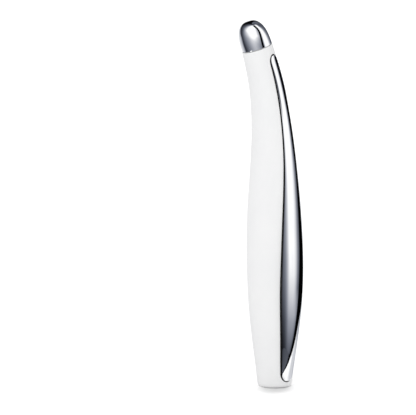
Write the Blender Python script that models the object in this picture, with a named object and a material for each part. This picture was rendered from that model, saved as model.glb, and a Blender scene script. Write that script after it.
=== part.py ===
"""Eye massager pen: a curved hand piece with a metal massage head, two bright side strips,
a vibration motor in the neck, one small round battery and a push button on the back.

Metres, +Z up. The pen stands on its base at the origin, its hollow front faces -Y.
"""

import math

import bmesh
import bpy
import numpy as np
from mathutils import Vector

# Overall sizes of the hand piece
BODY_HEIGHT = 0.1345
BODY_WIDTH = 0.0275
BODY_DEPTH = 0.0221
HEAD_REACH = 0.00744
HEAD_TILT = math.radians(19.3)
TILT_START_SHARE = 0.40
WALL = 0.0018
BASE_BORE_RADIUS = 0.0056
BASE_ROUND_SIDE = 0.0013
BASE_ROUND_FRONT = 0.0006
BASE_ROUND_HEIGHT = 0.0012
RIM_ROUND = 0.0003

# Sections up the body: height, half width, half depth and forward sweep as shares
STATION_SHARES = (0, 0.05, 0.12, 0.22, 0.34, 0.46, 0.58, 0.70, 0.81, 0.91, 1)
WIDTH_SHARES = (0.543, 0.673, 0.800, 0.932, 0.999, 0.984, 0.925, 0.836, 0.767, 0.695, 0.629)
DEPTH_SHARES = (0.608, 0.671, 0.782, 0.921, 1, 0.986, 0.899, 0.773, 0.668, 0.597, 0.553)
SWEEP_SHARES = (0, 0.0096, 0.0096, 0, 0.0067, 0.0432, 0.0798, 0.1355, 0.2893, 0.5805, 1)

# Seam between the front and the rear shell, with a tongue behind it
SEAM_GAP = 0.0001
TONGUE_LENGTH = 0.0012
TONGUE_GAP = 0.0001
TONGUE_WALL_SHARE = 0.40

# Bright side strips: how far they stand out, and the angles of their long edges
STRIP_PROUD = 0.0025
STRIP_EDGE_PROUD = 0.00015
STRIP_INSET = 0.0005
STRIP_BED = 0.0002
STRIP_GAP = 0.0002
STRIP_CUT_OVERRUN = 0.004
STRIP_BOTTOM_SHARE = 0.0185
STRIP_TOP_SHARE = 0.974
STRIP_TIP_LENGTH = 0.0032
STRIP_ROLL_FRONT = 0.0030
STRIP_ROLL_REAR = 0.0024
STRIP_ROLL_EDGE = 0.0005
STRIP_BOTTOM_TIP_ANGLE = math.radians(30)
STRIP_TOP_TIP_ANGLE = math.radians(37)
STRIP_SEAM_SHARE = 0.30
PROUD_STATION_SHARES = (0, 0.06, 0.16, 0.30, 0.45, 0.60, 0.80, 0.93, 1)
PROUD_SHARES = (0, 0.52, 0.78, 1, 0.78, 0.48, 0.30, 0.25, 0)
EDGE_STATION_SHARES = (0.02, 0.06, 0.12, 0.25, 0.40, 0.54, 0.68, 0.80, 0.90, 0.98)
FRONT_EDGE_DEGREES = (6.1, 4.3, 1.9, -2.2, -0.1, 5.2, 11.5, 14.6, 16.4, 16.5)
REAR_EDGE_DEGREES = (58, 69, 72, 74, 74.5, 74, 73, 72, 70, 62)

# Foam tape under each strip
TAPE_MARGIN = 0.0009
TAPE_GAP = 0.00005

# Massage head
HEAD_STEP = 0.0001
HEAD_LENGTH = 0.0108
HEAD_ROUNDNESS = 2.6
HEAD_WALL = 0.0009
HEAD_SEAT_GAP = 0.0003
HEAD_RIM_ROUND = 0.00015
SPIGOT_LENGTH = 0.003
SPIGOT_CLEARANCE = 0.0004
SPIGOT_WALL = 0.0008
GASKET_THICKNESS = 0.00015
GASKET_INSET = 0.00045
GASKET_SIDE_GAP = 0.0002

# Battery, its cap in the base and its contacts
BATTERY_RADIUS = 0.00525
BATTERY_LENGTH = 0.0445
BATTERY_NUB_RADIUS = 0.0019
BATTERY_NUB_HEIGHT = 0.0010
BATTERY_EDGE = 0.0004
CAP_CLEARANCE = 0.0002
CAP_HEIGHT = 0.0032
CAP_EDGE = 0.0003
CAP_GROOVE_LOW = 0.0014
SEAL_WIRE_RADIUS = 0.00045
SEAL_SQUEEZE_GAP = 0.00005
CAP_NOTCH_RADIUS = 0.0010
CAP_NOTCH_PLACE = 0.0035
CAP_NOTCH_DEPTH = 0.0008
SPRING_HEIGHT = 0.0032
SPRING_WIRE_RADIUS = 0.00028
SPRING_FOOT_RADIUS = 0.0049
SPRING_TIP_RADIUS = 0.0020
SPRING_TURNS = 3.5
SPRING_SEAT_GAP = 0.00015
CONTACT_THICKNESS = 0.00025
CONTACT_WIDTH = 0.0024
CONTACT_REACH = 0.0028
CONTACT_SIDE = -0.0010
CONTACT_TAB_SHARE = -0.95
CONTACT_GAP = 0.0003
RETURN_THICKNESS = 0.00015
RETURN_WIDTH = 0.0016
RETURN_BATTERY_GAP = 0.0001
RETURN_ANGLE = math.radians(-25)
RETURN_FOOT_GAP = 0.0003

# Inner chassis that holds the battery and the circuit board
CHASSIS_RISE = 0.004
SLEEVE_CLEARANCE = 0.00025
SLEEVE_WALL = 0.0011
SLEEVE_MOUTH = math.radians(100)
BULKHEAD_THICKNESS = 0.0014
BULKHEAD_GAP = 0.0003
BULKHEAD_SHARES = (0.10, 0.55)
SLOT_MARGIN = 0.0004
RAIL_WIDTH = 0.0016
RAIL_THICKNESS = 0.0014
RAIL_EMBED = 0.0010
CROSSBAR_HEIGHT = 0.0040
CROSSBAR_INSET = 0.0001

# Push button on the back, its gasket and its switch
BUTTON_SHARE = 0.73
BUTTON_WIDTH = 0.0048
BUTTON_LENGTH = 0.0096
BUTTON_SINK = 0.0001
BUTTON_ROUND = 0.0002
BUTTON_GAP = 0.00025
BUTTON_CUT_OVERRUN = 0.002
FLANGE_DEPTH = 0.0029
FLANGE_THICKNESS = 0.0006
FLANGE_MARGIN = 0.0008
STEM_WIDTH = 0.0020
STEM_BREADTH = 0.0030
STEM_LENGTH = 0.0008
PLUNGER_RADIUS = 0.0009
PLUNGER_LENGTH = 0.0011
PLUNGER_GAP = 0.0001
PLUNGER_CLEARANCE = 0.0001
SWITCH_SIZE = 0.0045
SWITCH_HEIGHT = 0.0018
SWITCH_LIP = 0.0006
SWITCH_WELL_DEPTH = 0.0014
MOUNT_GAP = 0.0001
GUARD_THICKNESS = 0.0004
GUARD_GAP = 0.0001

# Circuit board and its parts
BOARD_WIDTH = 0.0100
BOARD_THICKNESS = 0.0010
BOARD_FOOT_GAP = 0.0050
BOARD_CORNER = 0.0012
CHIP_SIZE = 0.0050
CHIP_HEIGHT = 0.0010
CHIP_PLACE_SHARE = -0.22
COIL_RADIUS = 0.0022
COIL_HEIGHT = 0.0024
COIL_PLACE_SHARE = -0.44
CAPACITOR_RADIUS = 0.0020
CAPACITOR_HEIGHT = 0.0027
CAPACITOR_PLACE_SHARE = -0.64
PART_EDGE = 0.0002
BOARD_SCREW_SHARES = (0.72, -0.84)
SCREW_RADIUS = 0.0006
SCREW_HEAD_RADIUS = 0.0012
SCREW_HEAD_HEIGHT = 0.0006
SCREW_LENGTH = 0.0026
SCREW_CLEARANCE = 0.0001
SCREW_CROSS_WIDTH = 0.0003
SCREW_CROSS_DEPTH = 0.0003

# Vibration motor in the neck
MOTOR_RADIUS = 0.0030
MOTOR_LENGTH = 0.0120
MOTOR_TOP_SHARE = 0.972
MOTOR_AIM_SHARE = 0.885
MOTOR_EDGE = 0.0003
BEARING_RADIUS = 0.0011
BEARING_HEIGHT = 0.0005
SHAFT_RADIUS = 0.0004
SHAFT_CLEARANCE = 0.00008
SHAFT_DEPTH = 0.0020
SHAFT_REACH = 0.0062
WEIGHT_CLEARANCE = 0.0009
WEIGHT_LENGTH = 0.0038
WEIGHT_HUB_RADIUS = 0.0011
WEIGHT_GAP = 0.0007
CRADLE_LOW_SHARE = 0.898
CRADLE_HIGH_SHARE = 0.955
CRADLE_WALL_GAP = 0.0002
CRADLE_MOTOR_GAP = 0.00015

# Leads and the contact rivets behind the strips
LEAD_RADIUS = 0.00035
LEAD_GAP = 0.00015
MOTOR_LEAD_RUN = 0.0095
MOTOR_LEAD_SPREAD = 0.0012
MOTOR_LEAD_BOARD_SPREAD = 0.0026
STRIP_LEAD_BOW = 0.0025
STRIP_LEAD_DROP = 0.0075
LEAD_CHANNEL_GAP = 0.0002
RIVET_SHARE = 0.60
RIVET_ANGLE = math.radians(52)
RIVET_RADIUS = 0.0007
RIVET_HOLE_GAP = 0.0002
RIVET_HEAD_RADIUS = 0.0013
RIVET_HEAD_HEIGHT = 0.0004
RIVET_HEAD_GAP = 0.00015
RIVET_CUT_OVERRUN = 0.0006

CUT_OVERRUN = 0.001

# Mesh density
FRONT_SEGMENTS = 16
REAR_SEGMENTS = 9
BODY_ROWS = 22
ROUND_ROWS = 3
STRIP_ROWS = 20
STRIP_TIP_ROWS = 4
STRIP_SEGMENTS = 9
HEAD_SEGMENTS = 32
HEAD_ROWS = 8
ROUND_SEGMENTS = 24
CAP_SEGMENTS = 32
SEAL_SIDES = 8
SMALL_SEGMENTS = 16
SECTION_SEARCH_STEPS = 24
SPRING_STEPS = 14
LEAD_STEPS = 12
SMOOTH_ANGLE = math.radians(35)

WHITE = ("white_abs", (0.90, 0.90, 0.91), 0.25, 0.0)
CHROME = ("bright_chrome", (0.80, 0.81, 0.83), 0.06, 1.0)
STEEL = ("plated_steel", (0.62, 0.62, 0.64), 0.30, 1.0)
BRASS = ("contact_brass", (0.78, 0.62, 0.32), 0.30, 1.0)
NATURAL = ("natural_nylon", (0.80, 0.79, 0.75), 0.50, 0.0)
RUBBER = ("grey_silicone", (0.35, 0.36, 0.38), 0.70, 0.0)
FOAM = ("foam_tape", (0.12, 0.12, 0.12), 0.90, 0.0)
BOARD_GREEN = ("board_green", (0.05, 0.28, 0.12), 0.45, 0.0)
BLACK = ("black_resin", (0.03, 0.03, 0.03), 0.45, 0.0)
BATTERY_JACKET = ("battery_jacket", (0.10, 0.16, 0.30), 0.35, 0.2)
RED = ("red_insulation", (0.60, 0.04, 0.03), 0.50, 0.0)
TUNGSTEN = ("tungsten_weight", (0.38, 0.38, 0.37), 0.40, 1.0)


def clear_scene():
    for item in list(bpy.data.objects):
        bpy.data.objects.remove(item, do_unlink=True)


def material(finish):
    name, colour, roughness, metallic = finish
    found = bpy.data.materials.get(name)
    if found:
        return found
    made = bpy.data.materials.new(name)
    made.use_nodes = True
    shader = made.node_tree.nodes["Principled BSDF"]
    shader.inputs["Base Color"].default_value = (*colour, 1)
    shader.inputs["Roughness"].default_value = roughness
    shader.inputs["Metallic"].default_value = metallic
    return made


def smooth_curve(places, values):
    """A natural cubic through the points, as a function of the place."""
    x = np.array(places, float)
    y = np.array(values, float)
    step = np.diff(x)
    count = len(x)
    matrix = np.eye(count)
    right = np.zeros(count)
    for i in range(1, count - 1):
        matrix[i, i - 1] = step[i - 1]
        matrix[i, i] = 2 * (step[i - 1] + step[i])
        matrix[i, i + 1] = step[i]
        right[i] = 6 * ((y[i + 1] - y[i]) / step[i] - (y[i] - y[i - 1]) / step[i - 1])
    bend = np.linalg.solve(matrix, right)

    def value(place):
        i = int(np.clip(np.searchsorted(x, place) - 1, 0, count - 2))
        ahead = x[i + 1] - place
        behind = place - x[i]
        width = step[i]
        curved = (bend[i] * ahead**3 + bend[i + 1] * behind**3) / (6 * width)
        low = (y[i] / width - bend[i] * width / 6) * ahead
        high = (y[i + 1] / width - bend[i + 1] * width / 6) * behind
        return float(curved + low + high)

    return value


width_share = smooth_curve(STATION_SHARES, WIDTH_SHARES)
depth_share = smooth_curve(STATION_SHARES, DEPTH_SHARES)
sweep_share = smooth_curve(STATION_SHARES, SWEEP_SHARES)
proud_share = smooth_curve(PROUD_STATION_SHARES, PROUD_SHARES)
front_edge = smooth_curve(EDGE_STATION_SHARES, FRONT_EDGE_DEGREES)
rear_edge = smooth_curve(EDGE_STATION_SHARES, REAR_EDGE_DEGREES)


def roll(distance, length):
    """Height share of a quarter round, from 0 at its edge to 1 at its full length."""
    left = 1 - min(max(distance / length, 0), 1)
    return math.sqrt(1 - left * left)


def full_half_width(share):
    """Half width over the strips."""
    return BODY_WIDTH / 2 * width_share(share)


def strip_rise(share):
    return STRIP_PROUD * proud_share(share)


def shell_half_width(share):
    return full_half_width(share) - strip_rise(share)


def shell_half_depth(share):
    return BODY_DEPTH / 2 * depth_share(share)


def spine(share):
    return Vector((0, -HEAD_REACH * sweep_share(share), BODY_HEIGHT * share))


def tilt(share):
    climb = (share - TILT_START_SHARE) / (1 - TILT_START_SHARE)
    return HEAD_TILT * min(max(climb, 0), 1) ** 2


def on_section(share, angle, half_width, half_depth):
    """A point of the section at a height share: angle 0 is +X, 90 degrees is the back."""
    lean = tilt(share)
    across = half_depth * math.sin(angle)
    offset = Vector((half_width * math.cos(angle), across * math.cos(lean), across * math.sin(lean)))
    return spine(share) + offset


def outer_half_sizes(share):
    """The shell's outside, with its rounded foot and its rounded mouth."""
    height = BODY_HEIGHT * share
    foot = 1 - roll(height, BASE_ROUND_HEIGHT)
    mouth = 1 - roll(BODY_HEIGHT - height, RIM_ROUND)
    half_width = shell_half_width(share) - BASE_ROUND_SIDE * foot - RIM_ROUND * mouth
    half_depth = shell_half_depth(share) - BASE_ROUND_FRONT * foot - RIM_ROUND * mouth
    return half_width, half_depth


def inner_half_sizes(share, clearance=0):
    """The shell's inside, never narrower than the bore for the battery."""
    half_width = max(shell_half_width(share) - WALL, BASE_BORE_RADIUS)
    half_depth = max(shell_half_depth(share) - WALL, BASE_BORE_RADIUS)
    if BODY_HEIGHT * share > BODY_HEIGHT * TILT_START_SHARE:
        half_depth = shell_half_depth(share) - WALL
    return half_width - clearance, half_depth - clearance


def middle_half_sizes(share, gap):
    """The surface between the seam's tongue and the wall outside it."""
    outer = outer_half_sizes(share)
    inner = inner_half_sizes(share)
    return tuple(i + TONGUE_WALL_SHARE * (o - i) + gap for o, i in zip(outer, inner))


def as_angle(length, share):
    """The angle that a short length takes up round the section."""
    return 2 * length / (shell_half_width(share) + shell_half_depth(share))


class Frame:
    """A place with three directions of its own."""

    def __init__(self, origin, along_x, along_y, along_z):
        self.origin = Vector(origin)
        self.x = Vector(along_x).normalized()
        self.y = Vector(along_y).normalized()
        self.z = Vector(along_z).normalized()

    def at(self, a, b, c):
        return self.origin + self.x * a + self.y * b + self.z * c

    def moved(self, a, b, c):
        return Frame(self.at(a, b, c), self.x, self.y, self.z)


WORLD = Frame((0, 0, 0), (1, 0, 0), (0, 1, 0), (0, 0, 1))


def head_frame():
    """The mouth of the neck: z runs out along the massage head."""
    lean = tilt(1)
    along = (0, -math.sin(lean), math.cos(lean))
    return Frame(spine(1), (1, 0, 0), (0, math.cos(lean), math.sin(lean)), along)


def button_frame():
    """On the back surface under the button: z points out of the back, y up along it."""
    back = math.radians(90)
    here = on_section(BUTTON_SHARE, back, 0, shell_half_depth(BUTTON_SHARE))
    step = 0.02
    above = on_section(BUTTON_SHARE + step, back, 0, shell_half_depth(BUTTON_SHARE + step))
    below = on_section(BUTTON_SHARE - step, back, 0, shell_half_depth(BUTTON_SHARE - step))
    up = (above - below).normalized()
    return Frame(here, (-1, 0, 0), up, Vector((-1, 0, 0)).cross(up))


def motor_frame():
    """The motor's top face: z runs up its shaft."""
    top = spine(MOTOR_TOP_SHARE)
    along = (top - spine(MOTOR_AIM_SHARE)).normalized()
    return Frame(top, (1, 0, 0), along.cross(Vector((1, 0, 0))), along)


def add_mesh(name, points, faces, finish, origin=None):
    """A closed mesh object with its faces out, smooth where the angle is small."""
    build = bmesh.new()
    made = [build.verts.new(p) for p in points]
    for face in faces:
        build.faces.new([made[i] for i in face])
    bmesh.ops.recalc_face_normals(build, faces=build.faces)
    place = Vector(origin) if origin is not None else Vector((0, 0, 0))
    bmesh.ops.translate(build, verts=build.verts, vec=-place)
    mesh = bpy.data.meshes.new(name)
    build.to_mesh(mesh)
    build.free()
    mesh.shade_smooth()
    mesh.set_sharp_from_angle(angle=SMOOTH_ANGLE)
    item = bpy.data.objects.new(name, mesh)
    item.location = place
    bpy.context.scene.collection.objects.link(item)
    mesh.materials.append(material(finish))
    return item


def loft(name, loops, finish, origin=None):
    """Closed loops of the same count joined in order, with a flat face at each end."""
    count = len(loops[0])
    points = [p for loop in loops for p in loop]
    faces = []
    for row in range(len(loops) - 1):
        for i in range(count):
            j = (i + 1) % count
            low = row * count
            faces.append((low + i, low + j, low + count + j, low + count + i))
    faces.append(tuple(range(count)))
    faces.append(tuple(range(len(points) - count, len(points))))
    return add_mesh(name, points, faces, finish, origin)


def turned(name, frame, profile, finish, segments=ROUND_SEGMENTS, depth_profile=None, origin=None):
    """A profile of (radius, height) turned about the frame's z, closed at a pole at each end.

    With depth_profile the rings are ovals: profile gives half widths, depth_profile half depths.
    """
    depths = depth_profile or [radius for radius, _ in profile]
    points = [frame.at(0, 0, profile[0][1])]
    faces = []
    for (radius, height), depth in zip(profile[1:-1], depths[1:-1]):
        for i in range(segments):
            angle = 2 * math.pi * i / segments
            points.append(frame.at(radius * math.cos(angle), depth * math.sin(angle), height))
    points.append(frame.at(0, 0, profile[-1][1]))
    rings = len(profile) - 2
    last = len(points) - 1
    for i in range(segments):
        j = (i + 1) % segments
        faces.append((0, 1 + j, 1 + i))
        for ring in range(rings - 1):
            low = 1 + ring * segments
            faces.append((low + i, low + j, low + segments + j, low + segments + i))
        low = 1 + (rings - 1) * segments
        faces.append((low + i, low + j, last))
    return add_mesh(name, points, faces, finish, origin)


def rod(name, frame, radius, low, high, finish, segments=SMALL_SEGMENTS):
    return turned(name, frame, [(0, high), (radius, high), (radius, low), (0, low)], finish, segments)


def prism(name, frame, outline, low, high, finish, origin=None):
    """A flat outline of (x, y) points drawn out along the frame's z."""
    loops = [[frame.at(x, y, height) for x, y in outline] for height in (low, high)]
    return loft(name, loops, finish, origin)


def rectangle(width, height, x=0, y=0):
    corners = ((-1, -1), (1, -1), (1, 1), (-1, 1))
    return [(x + a * width / 2, y + b * height / 2) for a, b in corners]


def slot_outline(width, length, segments=SMALL_SEGMENTS):
    """A long hole or key with round ends, its length along y."""
    radius = width / 2
    straight = length / 2 - radius
    points = []
    for end in (1, -1):
        for i in range(segments // 2 + 1):
            angle = math.pi * i / (segments // 2) + (0 if end == 1 else math.pi)
            points.append((radius * math.cos(angle), radius * math.sin(angle) + end * straight))
    return points


def cut(item, tool, operation="DIFFERENCE"):
    """Take a hidden tool from an object, or add it to the object."""
    step = item.modifiers.new(operation.lower() + "_" + tool.name, "BOOLEAN")
    step.operation = operation
    step.solver = "EXACT"
    step.object = tool
    tool.hide_render = True
    tool.display_type = "WIRE"


def join(item, tool):
    cut(item, tool, "UNION")


def section_loft(name, low_share, high_share, rows, clearance, finish):
    """A plug that fills the inside of the shells between two heights."""
    loops = []
    for row in range(rows + 1):
        share = low_share + (high_share - low_share) * row / rows
        half_width, half_depth = inner_half_sizes(share, clearance)
        angles = [2 * math.pi * i / ROUND_SEGMENTS for i in range(ROUND_SEGMENTS)]
        loops.append([on_section(share, angle, half_width, half_depth) for angle in angles])
    return loft(name, loops, finish)


def body_shares():
    """Heights of the shells' sections, close together at the rounded foot and mouth."""
    foot_share = BASE_ROUND_HEIGHT / BODY_HEIGHT
    mouth_share = RIM_ROUND / BODY_HEIGHT
    shares = []
    for i in range(ROUND_ROWS):
        shares.append(foot_share * (1 - math.cos(math.pi / 2 * i / ROUND_ROWS)))
    for i in range(BODY_ROWS + 1):
        shares.append(foot_share + (1 - mouth_share - foot_share) * i / BODY_ROWS)
    for i in range(1, ROUND_ROWS):
        shares.append(1 - mouth_share * (1 - math.sin(math.pi / 2 * i / (ROUND_ROWS - 1))))
    return shares


def strip_edges(share, grow=0):
    """The angles of a strip's front and rear edge at a height, drawn in at its round ends."""
    low = STRIP_BOTTOM_SHARE - grow / BODY_HEIGHT
    high = STRIP_TOP_SHARE + grow / BODY_HEIGHT
    from_low = (share - low) * BODY_HEIGHT
    from_high = (high - share) * BODY_HEIGHT
    held = min(max(share, EDGE_STATION_SHARES[0]), EDGE_STATION_SHARES[-1])
    extra = as_angle(grow, share)
    front = math.radians(front_edge(held)) - extra
    rear = math.radians(rear_edge(held)) + extra
    if from_low < from_high:
        tip = STRIP_BOTTOM_TIP_ANGLE
        open_share = roll(from_low, STRIP_TIP_LENGTH + grow)
    else:
        tip = STRIP_TOP_TIP_ANGLE
        open_share = roll(from_high, STRIP_TIP_LENGTH + grow)
    return tip + (front - tip) * open_share, tip + (rear - tip) * open_share


def strip_shares(rows, tip_rows, grow=0):
    """Heights of a strip's rows, close together at its round ends."""
    low = STRIP_BOTTOM_SHARE - grow / BODY_HEIGHT
    high = STRIP_TOP_SHARE + grow / BODY_HEIGHT
    tip = (STRIP_TIP_LENGTH + grow) / BODY_HEIGHT
    turns = [(i + 0.25) / tip_rows for i in range(tip_rows)]
    rises = [tip * (1 - math.cos(math.pi / 2 * t)) for t in turns]
    shares = [low + rise for rise in rises]
    shares += [low + tip + (high - low - 2 * tip) * i / rows for i in range(rows + 1)]
    shares += [high - rise for rise in reversed(rises)]
    return shares


def seam_angle(share):
    """The seam runs under the strips, and on from their tips to both ends of the body."""
    if share <= STRIP_BOTTOM_SHARE:
        return STRIP_BOTTOM_TIP_ANGLE
    if share >= STRIP_TOP_SHARE:
        return STRIP_TOP_TIP_ANGLE
    front, rear = strip_edges(share)
    return front + STRIP_SEAM_SHARE * (rear - front)


def arc(start, end, segments):
    return [start + (end - start) * i / segments for i in range(segments + 1)]


def shell_loop(share, outer_ends, inner_ends, gap, segments):
    """One section of a shell: its outside, its inside and the steps at the seams."""
    outer = outer_half_sizes(share)
    inner = inner_half_sizes(share)
    middle = middle_half_sizes(share, gap)
    steps = [(angle, outer) for angle in arc(outer_ends[0], outer_ends[1], segments)]
    steps.append((outer_ends[1], middle))
    steps.append((inner_ends[1], middle))
    steps += [(angle, inner) for angle in arc(inner_ends[1], inner_ends[0], segments)]
    steps.append((inner_ends[0], middle))
    steps.append((outer_ends[0], middle))
    return [on_section(share, angle, *sizes) for angle, sizes in steps]


def front_loop(share):
    seam = seam_angle(share)
    tongue = as_angle(TONGUE_LENGTH, share)
    outer_ends = (seam, -math.pi - seam)
    inner_ends = (seam + tongue, -math.pi - seam - tongue)
    return shell_loop(share, outer_ends, inner_ends, 0, FRONT_SEGMENTS)


def rear_loop(share):
    seam = seam_angle(share) + as_angle(SEAM_GAP, share)
    tongue = as_angle(TONGUE_LENGTH, share)
    outer_ends = (seam, math.pi - seam)
    inner_ends = (seam + tongue, math.pi - seam - tongue)
    return shell_loop(share, outer_ends, inner_ends, TONGUE_GAP, REAR_SEGMENTS)


def mirrored(loop, side):
    return [Vector((side * p.x, p.y, p.z)) for p in loop]


def strip_loop(share, side, segments):
    """One section of a side strip: rolled edges, a full middle and an inner face."""
    front, rear = strip_edges(share)
    width = (rear - front) / as_angle(1, share)
    to_tip = min(share - STRIP_BOTTOM_SHARE, STRIP_TOP_SHARE - share) * BODY_HEIGHT
    half_width = shell_half_width(share)
    half_depth = shell_half_depth(share)
    rise = strip_rise(share) - STRIP_EDGE_PROUD
    outer = []
    for i in range(segments + 1):
        across = (1 - math.cos(math.pi * i / segments)) / 2
        from_front = across * width
        from_rear = width - from_front
        full = roll(from_front, STRIP_ROLL_FRONT) * roll(from_rear, STRIP_ROLL_REAR)
        full *= roll(to_tip, STRIP_TIP_LENGTH)
        edge = roll(from_front, STRIP_ROLL_EDGE) * roll(from_rear, STRIP_ROLL_EDGE)
        edge *= roll(to_tip, STRIP_ROLL_EDGE)
        sizes = (half_width + rise * full + STRIP_EDGE_PROUD * edge, half_depth + STRIP_EDGE_PROUD * edge)
        outer.append(on_section(share, front + (rear - front) * across, *sizes))
    inner_sizes = (half_width - STRIP_INSET, half_depth - STRIP_INSET)
    inner = [on_section(share, angle, *inner_sizes) for angle in arc(rear, front, segments)]
    return mirrored(outer + inner, side)


def strip_cutter(name, side):
    """The bed for a strip: wider by the gap, deeper by the tape and open to the outside."""
    loops = []
    for share in strip_shares(STRIP_ROWS, STRIP_TIP_ROWS, STRIP_GAP):
        front, rear = strip_edges(share, STRIP_GAP)
        sink = STRIP_INSET + STRIP_BED
        floor = (shell_half_width(share) - sink, shell_half_depth(share) - sink)
        above = (floor[0] + STRIP_CUT_OVERRUN, floor[1] + STRIP_CUT_OVERRUN)
        loop = [on_section(share, angle, *above) for angle in arc(front, rear, STRIP_SEGMENTS)]
        loop += [on_section(share, angle, *floor) for angle in arc(rear, front, STRIP_SEGMENTS)]
        loops.append(mirrored(loop, side))
    return loft(name, loops, WHITE)


def tape_loops(side):
    """Thin foam between a strip and its bed, set in from the strip's edges."""
    loops = []
    for share in strip_shares(STRIP_ROWS, 0):
        front, rear = strip_edges(share)
        margin = as_angle(TAPE_MARGIN, share)
        top = STRIP_INSET + TAPE_GAP
        bottom = STRIP_INSET + STRIP_BED - TAPE_GAP
        half_width = shell_half_width(share)
        half_depth = shell_half_depth(share)
        angles = arc(front + margin, rear - margin, STRIP_SEGMENTS)
        loop = [on_section(share, a, half_width - top, half_depth - top) for a in angles]
        back = [on_section(share, a, half_width - bottom, half_depth - bottom) for a in reversed(angles)]
        loops.append(mirrored(loop + back, side))
    return loops


def rivet_frame(side):
    """Where a contact rivet crosses the wall: z points out of the body."""
    half_width = shell_half_width(RIVET_SHARE)
    half_depth = shell_half_depth(RIVET_SHARE)
    angle = math.atan2(half_depth * math.sin(RIVET_ANGLE), half_width * math.cos(RIVET_ANGLE))
    out = Vector((side * math.cos(RIVET_ANGLE), math.sin(RIVET_ANGLE), 0))
    place = mirrored([on_section(RIVET_SHARE, angle, half_width, half_depth)], side)[0]
    up = Vector((0, 0, 1))
    return Frame(place, up.cross(out), up, out)


def make_shells():
    shares = body_shares()
    front = loft("front_shell", [front_loop(s) for s in shares], WHITE)
    rear = loft("rear_shell", [rear_loop(s) for s in shares], WHITE)
    for side, label in ((1, "right"), (-1, "left")):
        bed = strip_cutter("bed_cutter_" + label, side)
        cut(front, bed)
        cut(rear, bed)
        hole = rod(
            "rivet_hole_" + label,
            rivet_frame(side),
            RIVET_RADIUS + RIVET_HOLE_GAP,
            -WALL - RIVET_CUT_OVERRUN,
            -STRIP_INSET + RIVET_CUT_OVERRUN,
            WHITE,
        )
        cut(rear, hole)
    frame = button_frame()
    hole_outline = slot_outline(BUTTON_WIDTH + 2 * BUTTON_GAP, BUTTON_LENGTH + 2 * BUTTON_GAP)
    hole = prism("button_hole", frame, hole_outline, -FLANGE_DEPTH, BUTTON_CUT_OVERRUN, WHITE)
    cut(rear, hole)


def make_strips():
    for side, label in ((1, "right"), (-1, "left")):
        shares = strip_shares(STRIP_ROWS, STRIP_TIP_ROWS)
        loops = [strip_loop(s, side, STRIP_SEGMENTS) for s in shares]
        loft("side_strip_" + label, loops, CHROME)
        tape = loft("strip_tape_" + label, tape_loops(side), FOAM)
        frame = rivet_frame(side)
        radius = RIVET_RADIUS + RIVET_HOLE_GAP
        hole = rod("tape_hole_" + label, frame, radius, -WALL, RIVET_CUT_OVERRUN, FOAM)
        cut(tape, hole)
        make_rivet(frame, label)


def make_rivet(frame, label):
    """A contact rivet: its tip meets the strip, its head sits inside the rear shell."""
    tip = -STRIP_INSET - RIVET_HOLE_GAP
    reach = RIVET_HEAD_RADIUS**2 / (2 * inner_half_sizes(RIVET_SHARE)[1])
    seat = -WALL - reach - 2 * RIVET_HEAD_GAP
    foot = seat - RIVET_HEAD_HEIGHT
    profile = [(0, tip), (RIVET_RADIUS, tip), (RIVET_RADIUS, seat), (RIVET_HEAD_RADIUS, seat)]
    profile += [(RIVET_HEAD_RADIUS, foot), (0, foot)]
    turned("strip_contact_" + label, frame, profile, BRASS, SMALL_SEGMENTS)
    board = button_frame()
    start = frame.at(0, 0, foot - LEAD_RADIUS)
    side = 1 if start.x > 0 else -1
    down = (start - board.origin).dot(board.y)
    level = board_top() + LEAD_RADIUS + LEAD_GAP
    pad_x = -side * (BOARD_WIDTH / 2 - 2 * LEAD_RADIUS)
    end = board.at(pad_x, down - STRIP_LEAD_DROP, level)
    pulls = (start - frame.z * STRIP_LEAD_BOW, end + board.y * STRIP_LEAD_BOW)
    lead("strip_lead_" + label, start, *pulls, end, RED)


def board_top():
    """Height of the board's back face in the button's frame, below the back surface."""
    stack = FLANGE_DEPTH + FLANGE_THICKNESS + STEM_LENGTH + PLUNGER_GAP
    return -(stack + SWITCH_LIP + SWITCH_HEIGHT + MOUNT_GAP)


def board_low():
    """The board's lower end, along the button's frame: a gap above the top bulkhead."""
    frame = button_frame()
    height = bulkhead_top() + BULKHEAD_THICKNESS + BOARD_FOOT_GAP
    corner = frame.at(0, 0, board_top() - BOARD_THICKNESS)
    return (height - corner.z) / frame.y.z


def board_high():
    """The board's upper end: the run of the motor's leads short of the motor."""
    frame = button_frame()
    motor_end = motor_frame().at(0, 0, -MOTOR_LENGTH)
    return (motor_end - frame.origin).dot(frame.y) - MOTOR_LEAD_RUN


def board_place(share):
    """A place along the board, as a share of its length above or below the button."""
    return share * (board_high() if share > 0 else -board_low())


def lead(name, start, start_pull, end_pull, end, finish, onward=None):
    """A short insulated wire on a smooth curve between two places, and straight on if asked."""
    curve = bpy.data.curves.new(name, "CURVE")
    curve.dimensions = "3D"
    curve.bevel_depth = LEAD_RADIUS
    curve.bevel_resolution = 2
    curve.use_fill_caps = True
    run = curve.splines.new("POLY")
    run.points.add(LEAD_STEPS + (1 if onward else 0))
    if onward:
        run.points[LEAD_STEPS + 1].co = (*onward, 1)
    for i in range(LEAD_STEPS + 1):
        t = i / LEAD_STEPS
        weights = ((1 - t) ** 3, 3 * t * (1 - t) ** 2, 3 * t * t * (1 - t), t**3)
        corners = (start, start_pull, end_pull, end)
        place = sum((w * p for w, p in zip(weights, corners)), Vector((0, 0, 0)))
        run.points[i].co = (*place, 1)
    item = bpy.data.objects.new(name, curve)
    bpy.context.scene.collection.objects.link(item)
    curve.materials.append(material(finish))
    return item


def head_half_sizes():
    """Half width and half depth of the massage head at its rim, a step inside the neck's."""
    return shell_half_width(1) - HEAD_STEP, shell_half_depth(1) - HEAD_STEP


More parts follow.
